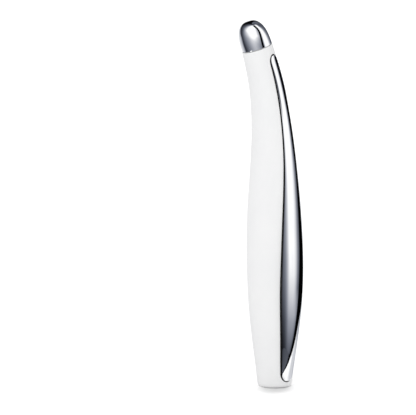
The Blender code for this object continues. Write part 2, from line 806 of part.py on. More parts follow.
def spigot_half_sizes():
    """Half width and half depth of the spigot that goes into the mouth of the neck."""
    return inner_half_sizes(1, SPIGOT_CLEARANCE)


def make_head():
    frame = head_frame()
    base = HEAD_SEAT_GAP
    half_width, half_depth = head_half_sizes()
    spigot_width, spigot_depth = spigot_half_sizes()
    power = 2 / HEAD_ROUNDNESS
    rings = [(0, 0, base + HEAD_LENGTH)]
    for i in range(1, HEAD_ROWS + 1):
        turn = math.pi / 2 * (1 - i / HEAD_ROWS)
        out = math.cos(turn) ** power
        rings.append((half_width * out, half_depth * out, base + HEAD_LENGTH * math.sin(turn) ** power))
    rings.append((half_width, half_depth, base + HEAD_RIM_ROUND))
    rings.append((half_width - HEAD_RIM_ROUND, half_depth - HEAD_RIM_ROUND, base))
    rings.append((spigot_width, spigot_depth, base))
    rings.append((spigot_width, spigot_depth, base - SPIGOT_LENGTH))
    rings.append((spigot_width - SPIGOT_WALL, spigot_depth - SPIGOT_WALL, base - SPIGOT_LENGTH))
    rings.append((spigot_width - SPIGOT_WALL, spigot_depth - SPIGOT_WALL, base + HEAD_WALL))
    hollow = HEAD_LENGTH - HEAD_WALL
    for i in range(1, HEAD_ROWS):
        turn = math.pi / 2 * i / HEAD_ROWS
        out = math.cos(turn) ** power
        height = base + HEAD_WALL + (hollow - HEAD_WALL) * math.sin(turn) ** power
        rings.append(((spigot_width - SPIGOT_WALL) * out, (spigot_depth - SPIGOT_WALL) * out, height))
    rings.append((0, 0, base + hollow))
    profile = [(w, h) for w, _, h in rings]
    depths = [d for _, d, _ in rings]
    turned("massage_head", frame, profile, CHROME, HEAD_SEGMENTS, depths)
    make_gasket(frame)


def make_gasket(frame):
    """The flat oval gasket between the massage head and the mouth of the neck."""
    low = (HEAD_SEAT_GAP - GASKET_THICKNESS) / 2
    high = low + GASKET_THICKNESS
    outer = [half - GASKET_INSET for half in head_half_sizes()]
    inner = [half + GASKET_SIDE_GAP for half in spigot_half_sizes()]
    angles = [2 * math.pi * i / HEAD_SEGMENTS for i in range(HEAD_SEGMENTS)]
    ring = [(outer[0] * math.cos(a), outer[1] * math.sin(a)) for a in angles]
    hole = [(inner[0] * math.cos(a), inner[1] * math.sin(a)) for a in angles]
    gasket = prism("head_gasket", frame, ring, low, high, RUBBER)
    tool = prism("gasket_hole", frame, hole, low - CUT_OVERRUN, high + CUT_OVERRUN, RUBBER)
    cut(gasket, tool)


def battery_floor():
    return CAP_HEIGHT + SPRING_HEIGHT


def make_battery_bay():
    floor = battery_floor()
    top = floor + BATTERY_LENGTH
    shoulder = top - BATTERY_NUB_HEIGHT
    inner = BATTERY_RADIUS - BATTERY_EDGE
    profile = [(0, top), (BATTERY_NUB_RADIUS, top), (BATTERY_NUB_RADIUS, shoulder), (inner, shoulder)]
    profile += [(BATTERY_RADIUS, shoulder - BATTERY_EDGE), (BATTERY_RADIUS, floor + BATTERY_EDGE)]
    profile += [(inner, floor), (0, floor)]
    turned("battery", WORLD, profile, BATTERY_JACKET)
    make_cap()
    make_spring()
    make_contacts(top)


def make_cap():
    """The round cap in the base, with a groove for its seal and two finger notches."""
    radius = BASE_BORE_RADIUS - CAP_CLEARANCE
    groove = BASE_BORE_RADIUS - SEAL_SQUEEZE_GAP - 2 * SEAL_WIRE_RADIUS - SEAL_SQUEEZE_GAP
    groove_high = CAP_GROOVE_LOW + 2 * SEAL_WIRE_RADIUS + 2 * SEAL_SQUEEZE_GAP
    profile = [(0, CAP_HEIGHT), (radius - CAP_EDGE, CAP_HEIGHT), (radius, CAP_HEIGHT - CAP_EDGE)]
    profile += [(radius, groove_high), (groove, groove_high)]
    profile += [(groove, CAP_GROOVE_LOW), (radius, CAP_GROOVE_LOW)]
    profile += [(radius, CAP_EDGE), (radius - CAP_EDGE, 0), (0, 0)]
    cap = turned("battery_cap", WORLD, profile, WHITE, CAP_SEGMENTS)
    for side, label in ((1, "right"), (-1, "left")):
        spot = WORLD.moved(side * CAP_NOTCH_PLACE, 0, 0)
        name = "cap_notch_" + label
        cut(cap, rod(name, spot, CAP_NOTCH_RADIUS, -CUT_OVERRUN, CAP_NOTCH_DEPTH, WHITE))
    middle = CAP_GROOVE_LOW + SEAL_SQUEEZE_GAP + SEAL_WIRE_RADIUS
    ring_radius = BASE_BORE_RADIUS - SEAL_SQUEEZE_GAP - SEAL_WIRE_RADIUS
    make_ring("cap_seal", ring_radius, SEAL_WIRE_RADIUS, middle)


def make_ring(name, radius, wire, height):
    """A round sealing ring, lying level."""
    sides = SEAL_SIDES
    points = []
    faces = []
    count = CAP_SEGMENTS
    for i in range(count):
        around = 2 * math.pi * i / count
        for k in range(sides):
            turn = 2 * math.pi * k / sides
            out = radius + wire * math.cos(turn)
            level = height + wire * math.sin(turn)
            points.append(Vector((out * math.cos(around), out * math.sin(around), level)))
    for i in range(count):
        for k in range(sides):
            n = (k + 1) % sides
            m = (i + 1) % count
            faces.append((i * sides + k, m * sides + k, m * sides + n, i * sides + n))
    return add_mesh(name, points, faces, RUBBER)


def make_spring():
    """The conical battery spring that stands on the cap."""
    curve = bpy.data.curves.new("battery_spring", "CURVE")
    curve.dimensions = "3D"
    curve.bevel_depth = SPRING_WIRE_RADIUS
    curve.bevel_resolution = 1
    curve.use_fill_caps = True
    run = curve.splines.new("POLY")
    steps = int(SPRING_TURNS * SPRING_STEPS)
    run.points.add(steps)
    low = CAP_HEIGHT + SPRING_WIRE_RADIUS + SPRING_SEAT_GAP
    high = battery_floor() - SPRING_WIRE_RADIUS - SPRING_SEAT_GAP
    for i in range(steps + 1):
        t = i / steps
        angle = 2 * math.pi * SPRING_TURNS * t
        radius = SPRING_FOOT_RADIUS + (SPRING_TIP_RADIUS - SPRING_FOOT_RADIUS) * t
        place = (radius * math.cos(angle), radius * math.sin(angle), low + (high - low) * t)
        run.points[i].co = (*place, 1)
    item = bpy.data.objects.new("battery_spring", curve)
    bpy.context.scene.collection.objects.link(item)
    curve.materials.append(material(STEEL))


def make_contacts(battery_top):
    """The leaf over the battery's nub, and the thin return strip beside the battery."""
    board = button_frame()
    low = battery_top + CONTACT_GAP
    high = low + CONTACT_THICKNESS
    front_level = board_top() - BOARD_THICKNESS - LEAD_GAP
    foot = board.at(0, board_low(), front_level)
    end = board.at(0, board_place(CONTACT_TAB_SHARE), front_level)
    side_frame = Frame((CONTACT_SIDE - CONTACT_WIDTH / 2, 0, 0), (0, 1, 0), (0, 0, 1), (1, 0, 0))
    outline = [(-CONTACT_REACH, low), (end.y, low), (end.y, end.z), (end.y - CONTACT_THICKNESS, end.z)]
    outline += [(end.y - CONTACT_THICKNESS, high), (-CONTACT_REACH, high)]
    prism("positive_contact", side_frame, outline, 0, CONTACT_WIDTH, BRASS)
    inner = BATTERY_RADIUS + RETURN_BATTERY_GAP
    back = board.at(0, board_low(), board_top())
    top = min(back.z, foot.z) - LEAD_GAP
    strip = rectangle(RETURN_WIDTH, RETURN_THICKNESS, 0, inner + RETURN_THICKNESS / 2)
    low_end = CAP_HEIGHT + RETURN_FOOT_GAP
    prism("negative_contact", return_frame(), strip, low_end, top, BRASS)


def return_frame():
    """The world turned a little about the battery, to put the return strip to one side."""
    turn = RETURN_ANGLE
    across = (math.cos(turn), math.sin(turn), 0)
    return Frame((0, 0, 0), across, (-math.sin(turn), math.cos(turn), 0), (0, 0, 1))


def bulkhead_top():
    """Height of the underside of the bulkhead over the battery and its contact."""
    return battery_floor() + BATTERY_LENGTH + 2 * CONTACT_GAP + CONTACT_THICKNESS


def chassis_foot(sleeve_radius):
    """The sleeve starts a little above the height where it first clears the shells."""
    low = battery_floor() / BODY_HEIGHT
    high = bulkhead_top() / BODY_HEIGHT
    share = low
    while share < high and min(inner_half_sizes(share, BULKHEAD_GAP)) < sleeve_radius:
        share += (high - low) / SECTION_SEARCH_STEPS
    return BODY_HEIGHT * share + CHASSIS_RISE


def make_chassis():
    """The moulded cradle round the battery, its bulkheads and the rails under the board."""
    top = bulkhead_top()
    inner = BATTERY_RADIUS + SLEEVE_CLEARANCE
    outer = inner + SLEEVE_WALL
    foot = chassis_foot(outer)
    start = math.pi / 2 + SLEEVE_MOUTH / 2
    end = 2.5 * math.pi - SLEEVE_MOUTH / 2
    angles = arc(start, end, ROUND_SEGMENTS)
    outline = [(outer * math.cos(a), outer * math.sin(a)) for a in angles]
    outline += [(inner * math.cos(a), inner * math.sin(a)) for a in reversed(angles)]
    chassis = prism("inner_chassis", WORLD, outline, foot, top + BULKHEAD_THICKNESS / 2, NATURAL)
    middle = inner + SLEEVE_WALL / 2
    hole = rod("battery_hole", WORLD, middle, -CUT_OVERRUN, top - CONTACT_GAP, NATURAL, ROUND_SEGMENTS)
    slot_low = RETURN_THICKNESS + RETURN_BATTERY_GAP + SLOT_MARGIN
    for i, share in enumerate(BULKHEAD_SHARES):
        height = foot + (top - foot) * share
        plate = bulkhead("bulkhead_" + str(i + 1), height)
        cut(plate, hole)
        cut(plate, return_slot("return_slot_" + str(i + 1), height, slot_low))
        join(chassis, plate)
    plate = bulkhead("bulkhead_top", top)
    cut(plate, return_slot("return_slot_top", top, slot_low))
    cut(plate, contact_slot(top))
    join(chassis, plate)
    add_rails(chassis, top)


def bulkhead(name, height):
    low = height / BODY_HEIGHT
    high = (height + BULKHEAD_THICKNESS) / BODY_HEIGHT
    return section_loft(name, low, high, 1, BULKHEAD_GAP, NATURAL)


def return_slot(name, height, margin):
    """A slot in a bulkhead for the return strip."""
    middle = BATTERY_RADIUS + RETURN_BATTERY_GAP + RETURN_THICKNESS / 2
    outline = rectangle(RETURN_WIDTH + 2 * SLOT_MARGIN, 2 * margin, 0, middle)
    high = height + BULKHEAD_THICKNESS + CUT_OVERRUN
    return prism(name, return_frame(), outline, height - CUT_OVERRUN, high, NATURAL)


def contact_slot(height):
    """A slot in the top bulkhead for the tab of the positive contact."""
    board = button_frame()
    level = board_top() - BOARD_THICKNESS - LEAD_GAP
    end = board.at(0, board_place(CONTACT_TAB_SHARE), level)
    middle = end.y - CONTACT_THICKNESS / 2
    wide = CONTACT_WIDTH + 2 * SLOT_MARGIN
    outline = rectangle(wide, CONTACT_THICKNESS + 2 * SLOT_MARGIN, CONTACT_SIDE, middle)
    high = height + BULKHEAD_THICKNESS + CUT_OVERRUN
    return prism("contact_slot", WORLD, outline, height - CUT_OVERRUN, high, NATURAL)


def add_rails(chassis, top):
    """Two rails in front of the board, from the top bulkhead up, with a bar at each screw."""
    board = button_frame()
    back = board_top() - BOARD_THICKNESS - MOUNT_GAP
    front = back - RAIL_THICKNESS
    low = (top + BULKHEAD_THICKNESS - RAIL_EMBED - board.origin.z) / board.y.z
    for side, label in ((1, "left"), (-1, "right")):
        x = side * (BOARD_WIDTH - RAIL_WIDTH) / 2
        outline = rectangle(RAIL_WIDTH, board_high() - low, x, (board_high() + low) / 2)
        join(chassis, prism("rail_" + label, board, outline, front, back, NATURAL))
    for i, share in enumerate(BOARD_SCREW_SHARES):
        place = board_place(share)
        outline = rectangle(BOARD_WIDTH - RAIL_WIDTH, CROSSBAR_HEIGHT, 0, place)
        bar = (front + CROSSBAR_INSET, back - CROSSBAR_INSET)
        join(chassis, prism("crossbar_" + str(i + 1), board, outline, *bar, NATURAL))
        name = "rail_hole_" + str(i + 1)
        radius = SCREW_RADIUS + SCREW_CLEARANCE
        spot = board.moved(0, place, 0)
        cut(chassis, rod(name, spot, radius, front - CUT_OVERRUN, back + CUT_OVERRUN, NATURAL))


def board_outline():
    """The board's outline with cut corners."""
    half = BOARD_WIDTH / 2
    inner = half - BOARD_CORNER
    high = board_high()
    low = board_low()
    points = [(-inner, low), (inner, low), (half, low + BOARD_CORNER), (half, high - BOARD_CORNER)]
    points += [(inner, high), (-inner, high), (-half, high - BOARD_CORNER), (-half, low + BOARD_CORNER)]
    return points


def make_board():
    frame = button_frame()
    top = board_top()
    board = prism("circuit_board", frame, board_outline(), top - BOARD_THICKNESS, top, BOARD_GREEN)
    for i, share in enumerate(BOARD_SCREW_SHARES):
        spot = frame.moved(0, board_place(share), 0)
        radius = SCREW_RADIUS + SCREW_CLEARANCE
        low = top - BOARD_THICKNESS - CUT_OVERRUN
        cut(board, rod("board_hole_" + str(i + 1), spot, radius, low, top + CUT_OVERRUN, BOARD_GREEN))
        make_board_screw("board_screw_" + ("upper", "lower")[i], spot, top)
    seat = top + MOUNT_GAP
    square = rectangle(CHIP_SIZE, CHIP_SIZE, 0, board_place(CHIP_PLACE_SHARE))
    prism("controller_chip", frame, square, seat, seat + CHIP_HEIGHT, BLACK)
    coil = frame.moved(0, board_place(COIL_PLACE_SHARE), seat)
    make_can("boost_coil", coil, COIL_RADIUS, COIL_HEIGHT, BLACK)
    capacitor = frame.moved(0, board_place(CAPACITOR_PLACE_SHARE), seat)
    make_can("filter_capacitor", capacitor, CAPACITOR_RADIUS, CAPACITOR_HEIGHT, STEEL)


def make_can(name, frame, radius, height, finish):
    profile = [(0, height), (radius - PART_EDGE, height), (radius, height - PART_EDGE), (radius, 0), (0, 0)]
    turned(name, frame, profile, finish, SMALL_SEGMENTS)


def make_board_screw(name, frame, top):
    """A small cross-head screw through the board into a crossbar."""
    seat = top + MOUNT_GAP
    high = seat + SCREW_HEAD_HEIGHT
    tip = seat - SCREW_LENGTH
    crown = SCREW_HEAD_RADIUS - PART_EDGE
    profile = [(0, high), (crown, high), (SCREW_HEAD_RADIUS, seat + PART_EDGE), (SCREW_HEAD_RADIUS, seat)]
    profile += [(SCREW_RADIUS, seat), (SCREW_RADIUS, tip + PART_EDGE), (SCREW_RADIUS / 2, tip), (0, tip)]
    screw = turned(name, frame, profile, STEEL, SMALL_SEGMENTS)
    low = high - SCREW_CROSS_DEPTH
    across = (SCREW_HEAD_RADIUS, SCREW_CROSS_WIDTH)
    for i, sizes in enumerate((across, across[::-1])):
        slot = name + "_slot_" + str(i + 1)
        cut(screw, prism(slot, frame, rectangle(*sizes), low, high + CUT_OVERRUN, STEEL))


def share_at(point):
    """The height share of the tilted section that a point lies in."""
    share = point.z / BODY_HEIGHT
    for _ in range(SECTION_SEARCH_STEPS):
        lean = tilt(share)
        across = (point.y - spine(share).y) * math.tan(lean)
        share = (point.z - across) / BODY_HEIGHT
    return share


def is_outside(point, sink):
    """Whether a point is outside the shell's outer surface, sunk by a little."""
    share = share_at(point)
    lean = tilt(share)
    offset = point - spine(share)
    across = offset.y * math.cos(lean) + offset.z * math.sin(lean)
    wide = offset.x / (shell_half_width(share) - sink)
    return wide * wide + (across / (shell_half_depth(share) - sink)) ** 2 > 1


def height_on_back(frame, x, y):
    """Height above the frame at which the back surface lies, for a point of the button."""
    low = -FLANGE_DEPTH
    high = CUT_OVERRUN
    for _ in range(SECTION_SEARCH_STEPS):
        middle = (low + high) / 2
        if is_outside(frame.at(x, y, middle), BUTTON_SINK):
            high = middle
        else:
            low = middle
    return low


def make_button():
    """The button: a key whose top follows the back surface, a flange inside and a stem."""
    frame = button_frame()
    key = slot_outline(BUTTON_WIDTH, BUTTON_LENGTH)
    flange = slot_outline(BUTTON_WIDTH + 2 * FLANGE_MARGIN, BUTTON_LENGTH + 2 * FLANGE_MARGIN)
    stem = slot_outline(STEM_WIDTH, STEM_BREADTH)
    bottom = -FLANGE_DEPTH - FLANGE_THICKNESS
    levels = [(stem, bottom - STEM_LENGTH), (stem, bottom), (flange, bottom), (flange, -FLANGE_DEPTH)]
    levels.append((key, -FLANGE_DEPTH))
    loops = [[frame.at(x, y, height) for x, y in outline] for outline, height in levels]
    for inset, sink in ((0, BUTTON_ROUND), (BUTTON_ROUND, 0), (BUTTON_WIDTH / 4, 0)):
        outline = slot_outline(BUTTON_WIDTH - 2 * inset, BUTTON_LENGTH - 2 * inset)
        loops.append([frame.at(x, y, height_on_back(frame, x, y) - sink) for x, y in outline])
    loft("power_button", loops, WHITE, frame.origin)


def make_switch():
    frame = button_frame()
    stem_tip = -(FLANGE_DEPTH + FLANGE_THICKNESS + STEM_LENGTH)
    high = stem_tip - PLUNGER_GAP
    profile = [(0, high), (PLUNGER_RADIUS - PART_EDGE, high), (PLUNGER_RADIUS, high - PART_EDGE)]
    profile += [(PLUNGER_RADIUS, high - PLUNGER_LENGTH), (0, high - PLUNGER_LENGTH)]
    turned("switch_plunger", frame, profile, BLACK, SMALL_SEGMENTS, None, frame.at(0, 0, high))
    top = high - SWITCH_LIP
    square = rectangle(SWITCH_SIZE, SWITCH_SIZE)
    body = prism("switch_body", frame, square, top - SWITCH_HEIGHT, top, STEEL)
    radius = PLUNGER_RADIUS + PLUNGER_CLEARANCE
    cut(body, rod("plunger_well", frame, radius, top - SWITCH_WELL_DEPTH, top + CUT_OVERRUN, STEEL))


def make_motor():
    frame = motor_frame()
    low = -MOTOR_LENGTH
    high = BEARING_HEIGHT
    bore = SHAFT_RADIUS + SHAFT_CLEARANCE
    profile = [(0, -SHAFT_DEPTH), (bore, -SHAFT_DEPTH), (bore, high)]
    profile += [(BEARING_RADIUS, high), (BEARING_RADIUS, 0)]
    profile += [(MOTOR_RADIUS - MOTOR_EDGE, 0), (MOTOR_RADIUS, -MOTOR_EDGE)]
    profile += [(MOTOR_RADIUS, low + MOTOR_EDGE), (MOTOR_RADIUS - MOTOR_EDGE, low), (0, low)]
    turned("motor_can", frame, profile, STEEL)
    shaft_low = -SHAFT_DEPTH + SHAFT_CLEARANCE
    shaft = [(0, SHAFT_REACH), (SHAFT_RADIUS, SHAFT_REACH), (SHAFT_RADIUS, shaft_low), (0, shaft_low)]
    turned("motor_shaft", frame, shaft, STEEL, SMALL_SEGMENTS, None, frame.origin)
    make_weight(frame)
    make_cradle(frame)


def make_weight(frame):
    """The half-round weight on the shaft that makes the head tremble."""
    angles = arc(0, math.pi, SMALL_SEGMENTS)
    radius = spigot_half_sizes()[1] - SPIGOT_WALL - WEIGHT_CLEARANCE
    outline = [(radius * math.cos(a), radius * math.sin(a)) for a in angles]
    angles = arc(math.pi, 2 * math.pi, SMALL_SEGMENTS)
    outline += [(WEIGHT_HUB_RADIUS * math.cos(a), WEIGHT_HUB_RADIUS * math.sin(a)) for a in angles]
    low = BEARING_HEIGHT + WEIGHT_GAP
    high = low + WEIGHT_LENGTH
    weight = prism("eccentric_weight", frame, outline, low, high, TUNGSTEN, frame.origin)
    bore = SHAFT_RADIUS + SHAFT_CLEARANCE
    cut(weight, rod("weight_bore", frame, bore, low - CUT_OVERRUN, high + CUT_OVERRUN, TUNGSTEN))


def make_cradle(frame):
    """The soft cradle that holds the motor in the neck, notched for the head's lead."""
    cradle = section_loft("motor_cradle", CRADLE_LOW_SHARE, CRADLE_HIGH_SHARE, 3, CRADLE_WALL_GAP, RUBBER)
    reach = MOTOR_LENGTH + CUT_OVERRUN
    bore = MOTOR_RADIUS + CRADLE_MOTOR_GAP
    cut(cradle, rod("motor_hole", frame, bore, -reach, CUT_OVERRUN, RUBBER, ROUND_SEGMENTS))
    radius = LEAD_RADIUS + LEAD_CHANNEL_GAP
    inner = head_lead_side() - radius
    outer = shell_half_width(CRADLE_LOW_SHARE)
    outline = rectangle(outer - inner, 2 * radius, (outer + inner) / 2, 0)
    cut(cradle, prism("lead_notch", frame, outline, -reach, CUT_OVERRUN, RUBBER))


def make_leads():
    """The motor's two leads and the lead to the massage head, all from the board's top end."""
    board = button_frame()
    motor = motor_frame()
    middle = board_top() - BOARD_THICKNESS / 2
    edge = board_high() + LEAD_GAP
    for side, label, finish in ((1, "positive", RED), (-1, "negative", BLACK)):
        start = board.at(-side * MOTOR_LEAD_BOARD_SPREAD, edge, middle)
        end = motor.at(side * MOTOR_LEAD_SPREAD, 0, -MOTOR_LENGTH - LEAD_GAP)
        pull = (end - start).length / 3
        lead("motor_lead_" + label, start, start + board.y * pull, end - motor.z * pull, end, finish)
    start = board.at(-(BOARD_WIDTH / 2 - BOARD_CORNER), edge, middle)
    entry = motor.at(head_lead_side(), 0, -MOTOR_LENGTH)
    pull = (entry - start).length / 3
    lead("head_lead", start, start + board.y * pull, entry - motor.z * pull, entry, RED, head_lead_end())


def head_lead_side():
    """How far the head's lead runs to the side of the motor: in line with the spigot's wall."""
    return spigot_half_sizes()[0] - SPIGOT_WALL / 2


def head_lead_end():
    """Just under the spigot, in line with the notch in the cradle."""
    motor = motor_frame()
    head = head_frame()
    start = motor.at(head_lead_side(), 0, 0)
    level = HEAD_SEAT_GAP - SPIGOT_LENGTH - LEAD_GAP
    travel = (level - (start - head.origin).dot(head.z)) / motor.z.dot(head.z)
    return start + motor.z * travel


def main():
    clear_scene()
    make_shells()
    make_strips()
    make_head()
    make_battery_bay()
    make_chassis()
    make_board()
    make_button()
    make_switch()
    make_motor()
    make_leads()


main()
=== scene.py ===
"""The looks of the eye massager pen: fine shells, chrome strips and head, materials and studio."""

import math

import bmesh
import bpy
import numpy as np
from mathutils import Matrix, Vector


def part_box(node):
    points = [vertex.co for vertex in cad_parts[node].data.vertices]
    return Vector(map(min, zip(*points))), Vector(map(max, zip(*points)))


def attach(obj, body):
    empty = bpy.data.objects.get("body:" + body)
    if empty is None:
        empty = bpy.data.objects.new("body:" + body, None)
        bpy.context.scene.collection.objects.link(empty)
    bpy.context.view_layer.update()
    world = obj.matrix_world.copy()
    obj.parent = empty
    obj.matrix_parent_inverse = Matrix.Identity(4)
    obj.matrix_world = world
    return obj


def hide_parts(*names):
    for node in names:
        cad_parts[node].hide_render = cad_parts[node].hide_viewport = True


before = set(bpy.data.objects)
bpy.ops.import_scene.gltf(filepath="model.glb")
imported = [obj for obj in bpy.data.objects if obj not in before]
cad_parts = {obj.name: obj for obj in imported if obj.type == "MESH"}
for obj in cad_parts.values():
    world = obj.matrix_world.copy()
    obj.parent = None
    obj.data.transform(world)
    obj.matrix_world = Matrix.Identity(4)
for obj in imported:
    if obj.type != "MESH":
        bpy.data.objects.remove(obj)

# Sizes of the hand piece, as in the part
BODY_HEIGHT = 0.1345
BODY_WIDTH = 0.0275
BODY_DEPTH = 0.0221
HEAD_REACH = 0.00744
HEAD_TILT = math.radians(19.3)
TILT_START_SHARE = 0.40
WALL = 0.0018
BASE_BORE_RADIUS = 0.0056
BASE_ROUND_SIDE = 0.0013
BASE_ROUND_FRONT = 0.0006
BASE_ROUND_HEIGHT = 0.0012
RIM_ROUND = 0.0003
STATION_SHARES = (0, 0.05, 0.12, 0.22, 0.34, 0.46, 0.58, 0.70, 0.81, 0.91, 1)
WIDTH_SHARES = (0.543, 0.673, 0.800, 0.932, 0.999, 0.984, 0.925, 0.836, 0.767, 0.695, 0.629)
DEPTH_SHARES = (0.608, 0.671, 0.782, 0.921, 1, 0.986, 0.899, 0.773, 0.668, 0.597, 0.553)
SWEEP_SHARES = (0, 0.0096, 0.0096, 0, 0.0067, 0.0432, 0.0798, 0.1355, 0.2893, 0.5805, 1)
SEAM_GAP = 0.0001
TONGUE_LENGTH = 0.0012
TONGUE_GAP = 0.0001
TONGUE_WALL_SHARE = 0.40

# The side strips and their beds
SIDES = ((1, "right"), (-1, "left"))
STRIP_PROUD = 0.0025
STRIP_EDGE_PROUD = 0.00015
STRIP_INSET = 0.0005
STRIP_BED = 0.0002
STRIP_BOTTOM_SHARE = 0.0185
STRIP_TOP_SHARE = 0.974
STRIP_TIP_LENGTH = 0.0032
STRIP_ROLL_FRONT = 0.0030
STRIP_ROLL_REAR = 0.0024
STRIP_ROLL_EDGE = 0.0005
STRIP_BOTTOM_TIP_ANGLE = math.radians(30)
STRIP_TOP_TIP_ANGLE = math.radians(37)
STRIP_SEAM_SHARE = 0.30
PROUD_STATION_SHARES = (0, 0.06, 0.16, 0.30, 0.45, 0.60, 0.80, 0.93, 1)
PROUD_SHARES = (0, 0.52, 0.78, 1, 0.78, 0.48, 0.30, 0.25, 0)
EDGE_STATION_SHARES = (0.02, 0.06, 0.12, 0.25, 0.40, 0.54, 0.68, 0.80, 0.90, 0.98)
FRONT_EDGE_DEGREES = (6.1, 4.3, 1.9, -2.2, -0.1, 5.2, 11.5, 14.6, 16.4, 16.5)
REAR_EDGE_DEGREES = (58, 69, 72, 74, 74.5, 74, 73, 72, 70, 62)
BED_GAP = 0.00024
BED_LIP = 0.00008
SEAL_SINK = 0.00012
SEAL_CLEARANCE = 0.00004
RIVET_SHARE = 0.60
RIVET_ANGLE = math.radians(52)
RIVET_HOLE_RADIUS = 0.0009
RIVET_CUT_OVERRUN = 0.0006

# The massage head
HEAD_STEP = 0.0001
HEAD_LENGTH = 0.0108
HEAD_ROUNDNESS = 2.6
HEAD_WALL = 0.0009
HEAD_SEAT_GAP = 0.0003
HEAD_RIM_ROUND = 0.00015
SPIGOT_LENGTH = 0.003
SPIGOT_CLEARANCE = 0.0004
SPIGOT_WALL = 0.0008

# The push button on the back
BUTTON_SHARE = 0.73
BUTTON_WIDTH = 0.0048
BUTTON_LENGTH = 0.0096
BUTTON_SINK = 0.0001
BUTTON_ROUND = 0.00035
BUTTON_GAP = 0.00025
BUTTON_CUT_OVERRUN = 0.002
FLANGE_DEPTH = 0.0029
FLANGE_THICKNESS = 0.0006
FLANGE_MARGIN = 0.0008
STEM_WIDTH = 0.0020
STEM_BREADTH = 0.0030
STEM_LENGTH = 0.0008
SLOPE_SHARE = 0.02
SEARCH_STEPS = 30

# Mesh density
BODY_ROWS = 150
ROUND_ROWS = 8
TIP_ROWS = 14
TIP_FIRST_ROW = 0.25
FRONT_STEPS = 44
REAR_STEPS = 16
LIP_STEPS = 4
FLOOR_STEPS = 4
STRIP_STEPS = 60
STRIP_INNER_STEPS = 14
HEAD_SEGMENTS = 112
HEAD_ROWS = 44
SLOT_SEGMENTS = 56
BUTTON_RINGS = 7
HOLE_SEGMENTS = 32
SMOOTH_ANGLE = math.radians(38)
MERGE_DISTANCE = 1e-8

# Materials: light and dark colour, span of roughness, scales of clouds and grain
NOISE_SPAN = (0.3, 0.7)
WHITE = dict(
    light=(0.89, 0.891, 0.893), dark=(0.87, 0.872, 0.877), rough=(0.50, 0.60), relief=1.5e-6
)
WHITE_IOR = 1.45
CHROME = dict(
    light=(0.93, 0.935, 0.95),
    dark=(0.90, 0.906, 0.925),
    rough=(0.02, 0.05),
    metallic=1,
    cloud=140,
    grain=900,
    relief=6e-7,
    stretch=(1, 1, 0.25),
)
# Painted shade on the strips: their colour darkened near the front edge, by reach from it in
# millimetres
EDGE_SHADE_SPAN = 0.001
EDGE_SHADE_STOPS = ((0, 0.01), (0.24, 0.01), (0.42, 1))
# Black foam for the seals; its near-black lips in the strips' gaps are painted shade
FOAM_AND_GAP_SHADE = dict(
    light=(0.012, 0.012, 0.013), dark=(0.007, 0.007, 0.008), rough=(0.85, 0.95), cloud=3000
)
FOAM_SPECULAR = 0.1
FOAM_CELLS = 5000
FOAM_RELIEF = 2e-5
BLUE = (0.06, 0.15, 0.36)
SILVER = (0.66, 0.66, 0.68)
JACKET = dict(light=BLUE, dark=BLUE, rough=(0.22, 0.34), metallic=0.3)
JACKET_STOPS = ((0, SILVER), (0.03, BLUE), (0.62, SILVER), (0.66, BLUE), (0.93, SILVER))
BOARD = dict(light=(0.02, 0.21, 0.075), dark=(0.016, 0.18, 0.065), rough=(0.30, 0.42))
BOARD_TRACES = {
    "Color1": (*BOARD["dark"], 1),
    "Color2": (*BOARD["light"], 1),
    "Mortar": (0.07, 0.38, 0.14, 1),
    "Scale": 420,
    "Mortar Size": 0.03,
}

# Inner finishes, as (light, dark, roughness, metallic, clouds), and the nodes that have them
INNER_FINISHES = {
    "contact_brass": ((0.80, 0.60, 0.28), (0.70, 0.50, 0.21), (0.22, 0.38), 1, 700),
    "plated_steel": ((0.70, 0.70, 0.71), (0.60, 0.60, 0.62), (0.22, 0.36), 1, 500),
    "natural_nylon": ((0.78, 0.76, 0.70), (0.72, 0.70, 0.64), (0.42, 0.56), 0, 150),
    "grey_silicone": ((0.30, 0.31, 0.33), (0.25, 0.26, 0.28), (0.60, 0.75), 0, 400),
    # The gasket's pale colour is partly its own and partly a painted highlight at the neck's rim
    "pale_silicone_and_painted_highlight": ((0.82, 0.82, 0.82), (0.78, 0.78, 0.785), (0.35, 0.45), 0, 90),
    "black_resin": ((0.032, 0.032, 0.034), (0.022, 0.022, 0.023), (0.38, 0.55), 0, 800),
    "red_insulation": ((0.58, 0.03, 0.022), (0.50, 0.022, 0.018), (0.35, 0.5), 0, 300),
    "tungsten_weight": ((0.42, 0.42, 0.41), (0.32, 0.32, 0.31), (0.35, 0.5), 1, 1500),
}
INNER_NODES = {
    "contact_brass": [
        "positive_contact", "negative_contact", "strip_contact_left", "strip_contact_right",
    ],
    "plated_steel": [
        "battery_spring", "board_screw_lower", "board_screw_upper", "filter_capacitor", "motor_can",
        "motor_shaft", "switch_body",
    ],
    "natural_nylon": ["inner_chassis", "motor_cradle"],
    "grey_silicone": ["cap_seal"],
    "pale_silicone_and_painted_highlight": ["head_gasket"],
    "black_resin": ["boost_coil", "controller_chip", "switch_plunger", "motor_lead_negative"],
    "red_insulation": ["head_lead", "motor_lead_positive", "strip_lead_left", "strip_lead_right"],
    "tungsten_weight": ["eccentric_weight"],
}

# Camera, and where the pen's middle stands beside the photograph's, in its pixels
CAMERA_AZIMUTH = math.radians(76)
CAMERA_ELEVATION = math.radians(7)
CAMERA_DISTANCE = 1.16
OBJECT_MIDDLE = Vector((0, 0, 0.0725))
PHOTO_SCALE = 0.395e-3
PHOTO_RIGHT = 67.1
PHOTO_UP = 3.4
PHOTO_PIXELS = 416
SENSOR_WIDTH = 36
CAMERA_REACH = 50

